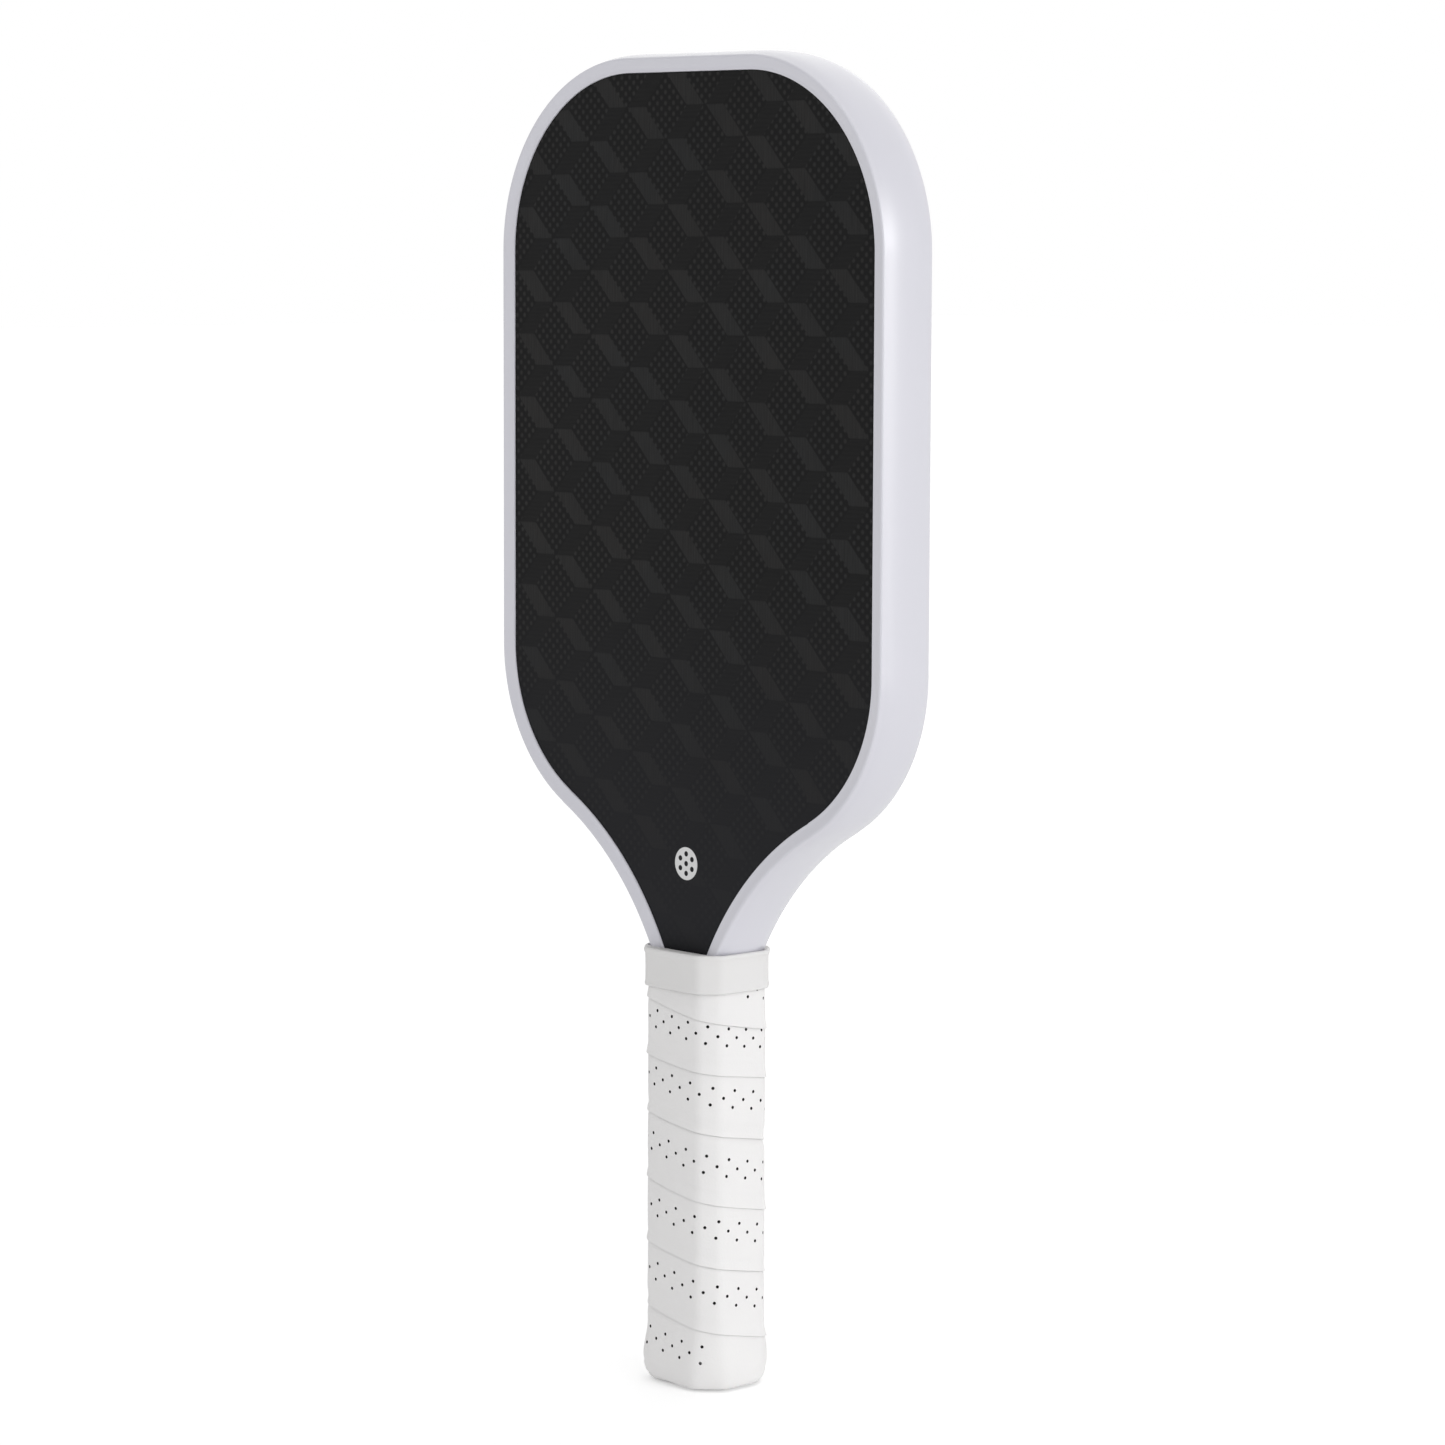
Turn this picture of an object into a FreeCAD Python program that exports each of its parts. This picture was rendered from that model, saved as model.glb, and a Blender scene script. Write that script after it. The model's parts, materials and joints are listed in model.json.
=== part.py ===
import FreeCAD, Part
import math
import os
import Sketcher

# A pickleball paddle, in millimetres.
# Frame: +Z runs from the butt to the top of the head, X is across the head and
# the front striking face looks along -Y. The origin is the centre of the butt's
# flat bottom, so the whole paddle stands on the plane Z = 0.
#
# The blade is a sandwich: a honeycomb core in a band of foam, with a film of
# adhesive, a backing ply and a woven skin on each side. Its lower end is the
# tongue, which runs down inside the handle. A U-shaped edge guard is glued round
# the head. Two pallets make the handle's octagon, and a cap, tapes, the grip
# and a rubber collar go round them.

SIZES = [
    # The head's outer outline, which is the outline of the edge guard.
    ("paddle_length", 419.1, "butt to top of head"),
    ("head_half_width", 88.45, "centre line to side of head"),
    ("corner_radius", 61.1, "top corners of the head"),
    ("shoulder_radius", 57.7, "convex arc below each side"),
    ("shoulder_height", 231.1, "where the sides end and the shoulders start"),
    ("neck_radius", 101.3, "concave arc from shoulder to handle"),
    ("neck_centre_x", 105.3, "centre of the concave arc"),
    ("neck_centre_height", 90.5, "centre of the concave arc"),
    # The edge guard.
    ("guard_depth", 20.8, "front to back over the guard's lips"),
    ("guard_wall", 1.6, "thickness of the guard's side wall"),
    ("guard_corner", 1.0, "radius along the guard's outer edges"),
    ("guard_lip_start", 1.3, "inset where the lip starts to fall to the face"),
    ("guard_lip_end", 5.6, "inset where the lip ends on the face"),
    ("guard_lip_edge", 0.15, "thickness left at the lip's inner edge"),
    ("guard_bottom", 134.0, "lower ends of the guard, inside the collar"),
    ("guard_glue", 0.15, "adhesive between guard and blade"),
    # The blade's layers, from the middle outwards.
    ("core_depth", 16.0, "thickness of honeycomb, foam and handle core"),
    ("film_thickness", 0.15, "adhesive film"),
    ("ply_thickness", 0.45, "backing ply"),
    ("skin_thickness", 0.4, "woven skin"),
    ("foam_inset", 9.6, "inset where the foam band meets the honeycomb"),
    ("core_bottom", 165.0, "lower end of the honeycomb and the foam band"),
    ("cell_size", 8.0, "honeycomb cell across its flats"),
    ("cell_wall", 0.4, "honeycomb wall"),
    ("cell_margin", 1.2, "solid web left along the honeycomb's outline"),
    ("tongue_half_width", 12.0, "half width of the blade inside the handle"),
    ("tongue_bottom", 3.2, "lower end of the tongue"),
    # The handle's octagon, over the grip.
    ("grip_width", 34.0, "across the flats, side to side"),
    ("grip_depth", 29.0, "across the flats, front to back"),
    ("grip_chamfer", 5.2, "leg of each 45 degree facet"),
    ("grip_corner", 3.0, "radius between facets"),
    ("grip_thickness", 1.6, "cushion grip"),
    ("grip_bottom", 3.4, "lower end of the grip"),
    ("grip_bottom_round", 1.2, "radius of the grip's lower edge"),
    ("grip_top", 132.0, "upper end of the grip"),
    ("backing_thickness", 0.2, "double-sided tape under the grip"),
    ("backing_top", 131.5, "upper end of that tape"),
    ("pallet_top", 133.0, "upper end of the handle's pallets"),
    ("pallet_film", 0.15, "adhesive between pallet and tongue"),
    ("pallet_gap", 0.1, "side clearance round the tongue"),
    # The butt.
    ("cap_height", 12.0, "height of the butt cap's skirt"),
    ("cap_wall", 0.9, "thickness of the skirt"),
    ("cap_floor", 3.0, "thickness of the cap's bottom"),
    ("cap_round", 3.4, "radius of the cap's bottom edge"),
    ("staple_height", 8.0, "height of the two staples"),
    ("staple_crown", 9.0, "length of a staple's crown"),
    ("staple_wire", 0.9, "width of the staple wire"),
    ("staple_flat", 0.5, "thickness of the staple wire"),
    ("staple_leg", 3.2, "length of a leg below the crown"),
    # The collar and the tape that it covers.
    ("finish_thickness", 0.2, "finishing tape"),
    ("finish_bottom", 128.5, "lower edge of the finishing tape"),
    ("collar_bottom", 127.5, "lower edge of the collar"),
    ("collar_top", 139.8, "upper edge of the collar"),
    ("collar_flange", 137.6, "underside of the collar's top flange"),
    ("collar_proud", 1.2, "how far the collar stands out from the grip"),
    ("collar_bore", 0.22, "how far its bore stands out from the grip"),
    ("collar_slot_half_x", 16.9, "half width of the slot for the neck"),
    ("collar_slot_half_y", 10.45, "half depth of the slot for the neck"),
    ("collar_slot_corner", 0.7, "cut across each corner of the slot"),
    ("collar_round", 0.5, "radius of the collar's edges"),
]

# Distances from the blade's middle plane to the inner face of each layer, then to its outside.
FILM_IN = "Sizes.core_depth/2"
PLY_IN = FILM_IN + " + Sizes.film_thickness"
SKIN_IN = PLY_IN + " + Sizes.ply_thickness"
BLADE_HALF = SKIN_IN + " + Sizes.skin_thickness"

# Insets: the sandwich's edge from the guard's outside, and the pallets and the cap from the grip's.
EDGE_INSET = "Sizes.guard_wall + Sizes.guard_glue"
PALLET_INSET = "Sizes.grip_thickness + Sizes.backing_thickness"
CAP_INSET = "Sizes.grip_thickness + Sizes.backing_thickness - Sizes.cap_wall"

# Tolerances used to find edges and to tell that a pocket cut something.
LEVEL_TOLERANCE = 1e-4
CORNER_TOLERANCE = 1e-3
SHORTEST_UPRIGHT = 0.5
LEAST_CUT_VOLUME = 1e-3

doc = FreeCAD.newDocument("Paddle")
sheet = doc.addObject("Spreadsheet::Sheet", "Sizes")
for row, (alias, value, note) in enumerate(SIZES, start=1):
    sheet.set("A%d" % row, alias)
    sheet.set("B%d" % row, str(value))
    sheet.setAlias("B%d" % row, alias)
    sheet.set("C%d" % row, note)
doc.recompute()

size = {alias: float(value) for alias, value, note in SIZES}
pieces = []


# ---------------------------------------------------------------- helpers

def new_body(name):
    """A PartDesign body that becomes the sub-part NAME."""
    body = doc.addObject("PartDesign::Body", name)
    body.Label = name
    pieces.append(body)
    return body


def value_of(expression):
    """The number that an expression of the sheet's sizes gives now."""
    return float(sheet.evalExpression(expression))


def new_sketch(body, name, role, offset=None):
    """A sketch on one of the body's own origin planes, moved along its normal."""
    plane = [item for item in body.Origin.OriginFeatures if item.Role == role][0]
    sketch = body.newObject("Sketcher::SketchObject", name)
    sketch.AttachmentSupport = [(plane, "")]
    sketch.MapMode = "FlatFace"
    if offset:
        sketch.setExpression("AttachmentOffset.Base.z", offset)
    return sketch


def bind(sketch, kind, target, expression):
    """A dimension of a sketch, bound to the sheet."""
    index = sketch.addConstraint(Sketcher.Constraint(kind, *target, value_of(expression)))
    sketch.setExpression("Constraints[%d]" % index, expression)


def pad(body, name, sketch, length, midplane=False):
    feature = body.newObject("PartDesign::Pad", name)
    feature.Profile = sketch
    feature.setExpression("Length", length)
    feature.Midplane = midplane
    doc.recompute()
    return feature


def pocket(body, name, sketch, length, midplane=False, reverse=False):
    """A pocket that stops the build if it removed nothing."""
    before = body.Shape.Volume
    feature = body.newObject("PartDesign::Pocket", name)
    feature.Profile = sketch
    feature.setExpression("Length", length)
    feature.Midplane = midplane
    feature.Reversed = reverse
    doc.recompute()
    if before - body.Shape.Volume < LEAST_CUT_VOLUME:
        raise RuntimeError("%s cut nothing from %s" % (name, body.Label))
    return feature


def fillet(body, name, base, edges, radius):
    feature = body.newObject("PartDesign::Fillet", name)
    feature.Base = (base, edges)
    feature.setExpression("Radius", radius)
    doc.recompute()
    return feature


# ---------------------------------------------------------------- outlines

def tangent_angle():
    """The direction in which both of a shoulder's arcs meet their common tangent."""
    step_x = size["neck_centre_x"] - (size["head_half_width"] - size["shoulder_radius"])
    step_z = size["shoulder_height"] - size["neck_centre_height"]
    reach = math.hypot(step_x, step_z)
    lean = math.acos((size["shoulder_radius"] + size["neck_radius"]) / reach)
    return math.atan2(step_z, step_x) - lean


def blade_outline(sketch, inset, bottom, tongue=False):
    """The head's outline, moved inwards by INSET and cut off at the height BOTTOM.

    Every outline in the blade shares the outer one's arc centres. With TONGUE the
    neck's arc runs into the straight sides of the tongue above the cut.
    """
    inset = "(%s)" % inset
    move = value_of(inset)
    low = value_of(bottom)
    half = size["head_half_width"] - move
    top = size["paddle_length"] - move
    corner = size["corner_radius"] - move
    shoulder = size["shoulder_radius"] - move
    neck = size["neck_radius"] + move
    shoulder_x = size["head_half_width"] - size["shoulder_radius"]
    turn = tangent_angle()
    if tongue:
        neck_x = size["tongue_half_width"]
        rise = math.sqrt(neck ** 2 - (size["neck_centre_x"] - neck_x) ** 2)
        neck_z = size["neck_centre_height"] + rise
    else:
        neck_z = low
        drop = neck_z - size["neck_centre_height"]
        neck_x = size["neck_centre_x"] - math.sqrt(neck ** 2 - drop ** 2)

    def point(side, x, z):
        return FreeCAD.Vector(side * x, z, 0)

    def arc(side, centre_x, centre_z, radius, start, end):
        """An arc between two angles, given for the right side, drawn anticlockwise."""
        circle = Part.Circle(point(side, centre_x, centre_z), FreeCAD.Vector(0, 0, 1), radius)
        if side < 0:
            start, end = math.pi - end, math.pi - start
        return Part.ArcOfCircle(circle, start, end)

    # Positions of an arc's ends: 1 is its start and 2 its end, anticlockwise.
    top_line = sketch.addGeometry(Part.LineSegment(
        point(1, half - corner, top), point(-1, half - corner, top)))
    bottom_x = size["tongue_half_width"] if tongue else neck_x
    bottom_line = sketch.addGeometry(Part.LineSegment(
        point(-1, bottom_x, low), point(1, bottom_x, low)))
    for line, height in ((top_line, "Sizes.paddle_length - " + inset), (bottom_line, bottom)):
        sketch.addConstraint(Sketcher.Constraint("Horizontal", line))
        bind(sketch, "DistanceY", (-1, 1, line, 1), height)

    neck_angle = math.atan2(neck_z - size["neck_centre_height"], neck_x - size["neck_centre_x"])
    for side in (1, -1):
        first, last = (1, 2) if side > 0 else (2, 1)
        corner_arc = sketch.addGeometry(arc(side, half - corner, top - corner, corner, 0, math.pi / 2))
        side_line = sketch.addGeometry(Part.LineSegment(
            point(side, half, size["shoulder_height"]), point(side, half, top - corner)))
        shoulder_arc = sketch.addGeometry(arc(
            side, shoulder_x, size["shoulder_height"], shoulder, -turn, 0))
        neck_arc = sketch.addGeometry(arc(
            side, size["neck_centre_x"], size["neck_centre_height"], neck, math.pi - turn, neck_angle))
        shoulder_line = sketch.addGeometry(Part.LineSegment(
            point(side, shoulder_x + shoulder * math.cos(turn),
                  size["shoulder_height"] - shoulder * math.sin(turn)),
            point(side, size["neck_centre_x"] - neck * math.cos(turn),
                  size["neck_centre_height"] + neck * math.sin(turn))))
        joins = ((corner_arc, last, top_line, first), (corner_arc, first, side_line, 2),
                 (shoulder_arc, last, side_line, 1), (shoulder_arc, first, shoulder_line, 1),
                 (neck_arc, first, shoulder_line, 2))
        for join in joins:
            sketch.addConstraint(Sketcher.Constraint("Tangent", *join))
        sketch.addConstraint(Sketcher.Constraint("Vertical", side_line))
        bind(sketch, "Radius", (corner_arc,), "Sizes.corner_radius - " + inset)
        bind(sketch, "Radius", (shoulder_arc,), "Sizes.shoulder_radius - " + inset)
        bind(sketch, "Radius", (neck_arc,), "Sizes.neck_radius + " + inset)
        centres = ((shoulder_arc, "Sizes.head_half_width - Sizes.shoulder_radius", "Sizes.shoulder_height"),
                   (neck_arc, "Sizes.neck_centre_x", "Sizes.neck_centre_height"))
        for curve, across, height in centres:
            pair = (-1, 1, curve, 3) if side > 0 else (curve, 3, -1, 1)
            bind(sketch, "DistanceX", pair, across)
            bind(sketch, "DistanceY", (-1, 1, curve, 3), height)
        corner_end = 2 if side > 0 else 1
        if tongue:
            tongue_line = sketch.addGeometry(Part.LineSegment(
                point(side, neck_x, neck_z), point(side, neck_x, low)))
            sketch.addConstraint(Sketcher.Constraint("Vertical", tongue_line))
            sketch.addConstraint(Sketcher.Constraint("Coincident", neck_arc, last, tongue_line, 1))
            sketch.addConstraint(Sketcher.Constraint("Coincident", tongue_line, 2, bottom_line, corner_end))
            pair = (-1, 1, tongue_line, 2) if side > 0 else (tongue_line, 2, -1, 1)
            bind(sketch, "DistanceX", pair, "Sizes.tongue_half_width")
        else:
            sketch.addConstraint(Sketcher.Constraint("Coincident", neck_arc, last, bottom_line, corner_end))


def octagon(sketch, across, deep, leg):
    """A rectangle with cut corners: half width ACROSS, half depth DEEP, each cut's leg LEG."""
    short_x = "(%s) - (%s)" % (across, leg)
    short_y = "(%s) - (%s)" % (deep, leg)
    corners = [(1, across, 1, short_y), (1, short_x, 1, deep),
               (-1, short_x, 1, deep), (-1, across, 1, short_y),
               (-1, across, -1, short_y), (-1, short_x, -1, deep),
               (1, short_x, -1, deep), (1, across, -1, short_y)]
    spots = [FreeCAD.Vector(side_x * value_of(far_x), side_y * value_of(far_y), 0)
             for side_x, far_x, side_y, far_y in corners]
    lines = []
    for index, spot in enumerate(spots):
        lines.append(sketch.addGeometry(Part.LineSegment(spot, spots[(index + 1) % len(spots)])))
    for index, (side_x, far_x, side_y, far_y) in enumerate(corners):
        line = lines[index]
        sketch.addConstraint(Sketcher.Constraint("Coincident", lines[index - 1], 2, line, 1))
        for kind, side, far in (("DistanceX", side_x, far_x), ("DistanceY", side_y, far_y)):
            pair = (-1, 1, line, 1) if side > 0 else (line, 1, -1, 1)
            bind(sketch, kind, pair, far)


def facet_leg(inset):
    """A grip octagon's corner cut after the octagon has moved inwards by INSET."""
    return "Sizes.grip_chamfer - (%s)*(2 - sqrt(2))" % inset


def grip_octagon(sketch, inset):
    """The handle's octagon, moved inwards by INSET from the grip's outside."""
    octagon(sketch, "Sizes.grip_width/2 - (%s)" % inset, "Sizes.grip_depth/2 - (%s)" % inset,
            facet_leg(inset))


def rectangle(sketch, sides):
    """A rectangle whose LEFT, BOTTOM, RIGHT and TOP are (sign, expression) pairs."""
    left, bottom, right, top = [sign * value_of(expression) for sign, expression in sides]
    corners = [(left, bottom), (right, bottom), (right, top), (left, top)]
    lines = []
    for index, corner in enumerate(corners):
        following = corners[(index + 1) % 4]
        lines.append(sketch.addGeometry(Part.LineSegment(
            FreeCAD.Vector(corner[0], corner[1], 0), FreeCAD.Vector(following[0], following[1], 0))))
    for index, line in enumerate(lines):
        sketch.addConstraint(Sketcher.Constraint("Coincident", lines[index - 1], 2, line, 1))
        sketch.addConstraint(Sketcher.Constraint("Horizontal" if index % 2 == 0 else "Vertical", line))
    targets = (("DistanceX", lines[0], 0), ("DistanceY", lines[0], 1),
               ("DistanceX", lines[2], 2), ("DistanceY", lines[2], 3))
    for kind, line, which in targets:
        sign, expression = sides[which]
        pair = (-1, 1, line, 1) if sign > 0 else (line, 1, -1, 1)
        bind(sketch, kind, pair, expression)


# ---------------------------------------------------------------- edges to round

def facet_edges(shape, inset):
    """Names of the upright edges of the octagon moved inwards by INSET."""
    move = value_of(inset)
    half_x = size["grip_width"] / 2 - move
    half_y = size["grip_depth"] / 2 - move
    leg = value_of(facet_leg(inset))
    names = []
    for index, edge in enumerate(shape.Edges, start=1):
        box = edge.BoundBox
        if box.XLength + box.YLength > LEVEL_TOLERANCE or box.ZLength < SHORTEST_UPRIGHT:
            continue
        for corner_x, corner_y in ((half_x, half_y - leg), (half_x - leg, half_y)):
            if math.hypot(abs(box.XMin) - corner_x, abs(box.YMin) - corner_y) < CORNER_TOLERANCE:
                names.append("Edge%d" % index)
    return names


def level_edges(shape, height, axis="Z"):
    """Names of the edges that lie in the plane at HEIGHT along AXIS."""
    names = []
    for index, edge in enumerate(shape.Edges, start=1):
        box = edge.BoundBox
        low, high = getattr(box, axis + "Min"), getattr(box, axis + "Max")
        if max(abs(low - height), abs(high - height)) < LEVEL_TOLERANCE:
            names.append("Edge%d" % index)
    return names


# ---------------------------------------------------------------- the head

def edge_guard():
    """A moulded U channel round the head, with lips that taper onto both faces."""
    body = new_body("edge_guard")
    outer = new_sketch(body, "guard_outline", "XZ_Plane")
    blade_outline(outer, "0", "Sizes.guard_bottom")
    block = pad(body, "guard_block", outer, "Sizes.guard_depth", midplane=True)
    half = size["guard_depth"] / 2
    edges = level_edges(block.Shape, half, "Y") + level_edges(block.Shape, -half, "Y")
    flat_ends = level_edges(block.Shape, size["guard_bottom"], "Z")
    fillet(body, "guard_edges", block, [name for name in edges if name not in flat_ends],
           "Sizes.guard_corner")
    for name, sign in (("front", 1), ("rear", -1)):
        wide = new_sketch(body, "lip_start_" + name, "XZ_Plane", "%d*Sizes.guard_depth/2" % sign)
        blade_outline(wide, "Sizes.guard_lip_start", "Sizes.collar_bottom")
        narrow = new_sketch(body, "lip_end_" + name, "XZ_Plane",
                            "%d*(%s + Sizes.guard_lip_edge)" % (sign, BLADE_HALF))
        blade_outline(narrow, "Sizes.guard_lip_end", "Sizes.collar_bottom")
        slope = body.newObject("PartDesign::SubtractiveLoft", "lip_slope_" + name)
        slope.Profile = wide
        slope.Sections = [narrow]
        slope.Ruled = True
        doc.recompute()
    window = new_sketch(body, "guard_window", "XZ_Plane")
    blade_outline(window, "Sizes.guard_lip_end", "Sizes.collar_bottom")
    pocket(body, "window_cut", window, "Sizes.guard_depth", midplane=True)
    channel = new_sketch(body, "guard_channel", "XZ_Plane")
    blade_outline(channel, "Sizes.guard_wall", "Sizes.collar_bottom")
    pocket(body, "channel_cut", channel, "2*(%s)" % BLADE_HALF, midplane=True)


def edge_guard_adhesive():
    """The bead of adhesive between the guard and the sandwich's edge."""
    body = new_body("edge_guard_adhesive")
    outer = new_sketch(body, "glue_outline", "XZ_Plane")
    blade_outline(outer, "Sizes.guard_wall", "Sizes.guard_bottom")
    pad(body, "glue_block", outer, "2*(%s)" % BLADE_HALF, midplane=True)
    inner = new_sketch(body, "glue_inside", "XZ_Plane")
    blade_outline(inner, EDGE_INSET, "Sizes.collar_bottom")
    pocket(body, "glue_cut", inner, "Sizes.guard_depth", midplane=True)


def blade_layer(name, sign, inner, thickness):
    """One sheet of the sandwich on the front (SIGN 1) or the rear (SIGN -1)."""
    body = new_body(name)
    start = inner if sign > 0 else "-1*(%s + %s)" % (inner, thickness)
    sketch = new_sketch(body, name + "_outline", "XZ_Plane", start)
    blade_outline(sketch, EDGE_INSET, "Sizes.tongue_bottom", tongue=True)
    pad(body, name + "_sheet", sketch, thickness)


def perimeter_foam():
    """The band of foam between the honeycomb and the edge guard."""
    body = new_body("perimeter_foam")
    outer = new_sketch(body, "foam_outline", "XZ_Plane")
    blade_outline(outer, EDGE_INSET, "Sizes.core_bottom")
    pad(body, "foam_block", outer, "Sizes.core_depth", midplane=True)
    inner = new_sketch(body, "foam_inside", "XZ_Plane")
    blade_outline(inner, "Sizes.foam_inset", "Sizes.guard_bottom")
    pocket(body, "foam_cut", inner, "Sizes.guard_depth", midplane=True)


def handle_core():
    """The dense block that fills the throat and the tongue, below the honeycomb."""
    body = new_body("handle_core")
    outer = new_sketch(body, "core_outline", "XZ_Plane")
    blade_outline(outer, EDGE_INSET, "Sizes.tongue_bottom", tongue=True)
    pad(body, "core_block", outer, "Sizes.core_depth", midplane=True)
    above = new_sketch(body, "core_above", "XZ_Plane")
    rectangle(above, ((-1, "Sizes.head_half_width"), (1, "Sizes.core_bottom"),
                      (1, "Sizes.head_half_width"), (1, "Sizes.paddle_length")))
    pocket(body, "core_top_cut", above, "Sizes.guard_depth", midplane=True)


def hexagon(centre, radius):
    """A closed hexagon in an XZ plane, with two of its corners above and below the centre."""
    corners = []
    for angle in range(30, 391, 60):
        turn = math.radians(angle)
        corners.append(centre + FreeCAD.Vector(radius * math.cos(turn), 0, radius * math.sin(turn)))
    return Part.makePolygon(corners)


def honeycomb_core():
    """Hexagonal cells through the head's core.

    One flat face with a hexagonal hole for each cell is extruded once, because
    hundreds of pocket instances take far too long. It reads its sizes from the sheet.
    """
    outline = doc.getObject("foam_inside").Shape
    inset = outline.Wires[0]
    half_depth = sheet.get("core_depth") / 2
    bottom = sheet.get("core_bottom")
    reach = sheet.get("head_half_width")
    face = Part.Face(inset)
    face.translate(FreeCAD.Vector(0, half_depth - face.BoundBox.YMin, 0))
    above = Part.makePlane(2 * reach, sheet.get("paddle_length"),
                           FreeCAD.Vector(-reach, half_depth, bottom), FreeCAD.Vector(0, -1, 0),
                           FreeCAD.Vector(1, 0, 0))
    face = face.common(above).Faces[0]
    rim = face.OuterWire
    wall = sheet.get("cell_wall")
    pitch = sheet.get("cell_size") + wall
    radius = sheet.get("cell_size") / math.sqrt(3)
    margin = sheet.get("cell_margin") + radius
    row_step = pitch * math.sqrt(3) / 2
    holes = []
    box = face.BoundBox
    rows = int(box.ZLength / row_step) + 2
    columns = int(box.XLength / pitch / 2) + 2
    for row in range(rows):
        height = bottom + row * row_step
        for column in range(-columns, columns + 1):
            across = (column + 0.5 * (row % 2)) * pitch
            centre = FreeCAD.Vector(across, half_depth, height)
            if not face.isInside(centre, CORNER_TOLERANCE, False):
                continue
            if Part.Vertex(centre).distToShape(rim)[0] < margin:
                continue
            holes.append(hexagon(centre, radius))
    sheet_face = Part.Face([rim] + holes)
    sheet_face.validate()
    solid = sheet_face.extrude(FreeCAD.Vector(0, -2 * half_depth, 0))
    if solid.Volume < 0:
        solid.reverse()
    core = doc.addObject("Part::Feature", "honeycomb_core")
    core.Label = "honeycomb_core"
    core.Shape = solid
    core.Placement = FreeCAD.Placement()
    pieces.append(core)
    print("honeycomb cells", len(holes))


# ---------------------------------------------------------------- the handle

def handle_pallet(name, sign):
    """Half of the handle's octagon, with a channel for the tongue."""
    body = new_body(name)
    outline = new_sketch(body, name + "_octagon", "XY_Plane", "Sizes.cap_floor")
    grip_octagon(outline, PALLET_INSET)
    block = pad(body, name + "_block", outline, "Sizes.pallet_top - Sizes.cap_floor")
    fillet(body, name + "_corners", block, facet_edges(block.Shape, PALLET_INSET),
           "Sizes.grip_corner - (%s)" % PALLET_INSET)
    other = new_sketch(body, name + "_other_half", "XY_Plane", "Sizes.cap_floor")
    if sign > 0:
        depth = ((1, "0"), (1, "Sizes.grip_depth"))
    else:
        depth = ((-1, "Sizes.grip_depth"), (1, "0"))
    rectangle(other, ((-1, "Sizes.grip_width"), depth[0], (1, "Sizes.grip_width"), depth[1]))
    pocket(body, name + "_split", other, "Sizes.pallet_top", reverse=True)
    channel = new_sketch(body, name + "_channel", "XY_Plane", "Sizes.cap_floor")
    side = "Sizes.tongue_half_width + Sizes.pallet_gap"
    deep = BLADE_HALF + " + Sizes.pallet_film"
    rectangle(channel, ((-1, side), (-1, deep), (1, side), (1, deep)))
    pocket(body, name + "_channel_cut", channel, "Sizes.pallet_top", reverse=True)
    staple_holes(body, name, sign, "Sizes.staple_leg + Sizes.staple_wire")


def staple_holes(body, name, sign, depth):
    """Two slots for the legs of the staple on one side of the handle."""
    start = "%d*(Sizes.grip_depth/2)" % sign
    inner = "Sizes.staple_crown/2 - Sizes.staple_flat"
    low = "Sizes.staple_height - Sizes.staple_wire/2"
    high = "Sizes.staple_height + Sizes.staple_wire/2"
    for hand, label in ((1, "right"), (-1, "left")):
        legs = new_sketch(body, "%s_leg_%s" % (name, label), "XZ_Plane", start)
        near, far = (hand, inner), (hand, "Sizes.staple_crown/2")
        if hand < 0:
            near, far = far, near
        rectangle(legs, (near, (1, low), far, (1, high)))
        pocket(body, "%s_leg_cut_%s" % (name, label), legs, depth, reverse=sign < 0)


def pallet_adhesive(name, sign):
    """The film that holds one pallet to the tongue."""
    body = new_body(name)
    start = BLADE_HALF if sign > 0 else "-1*(%s + Sizes.pallet_film)" % BLADE_HALF
    sketch = new_sketch(body, name + "_outline", "XZ_Plane", start)
    rectangle(sketch, ((-1, "Sizes.tongue_half_width"), (1, "Sizes.tongue_bottom"),
                       (1, "Sizes.tongue_half_width"), (1, "Sizes.pallet_top")))
    pad(body, name + "_film", sketch, "Sizes.pallet_film")


def sleeve(name, bottom, top, outer, inner):
    """A hollow octagon between two insets and two heights, rounded inside first."""
    body = new_body(name)
    outside = new_sketch(body, name + "_outside", "XY_Plane", bottom)
    grip_octagon(outside, outer)
    pad(body, name + "_block", outside, "%s - %s" % (top, bottom))
    inside = new_sketch(body, name + "_inside", "XY_Plane", bottom)
    grip_octagon(inside, inner)
    hollow = pocket(body, name + "_bore", inside, "%s - %s" % (top, bottom), reverse=True)
    bored = fillet(body, name + "_bore_corners", hollow, facet_edges(hollow.Shape, inner),
                   "Sizes.grip_corner - (%s)" % inner)
    fillet(body, name + "_corners", bored, facet_edges(bored.Shape, outer),
           "Sizes.grip_corner - (%s)" % outer)


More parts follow.
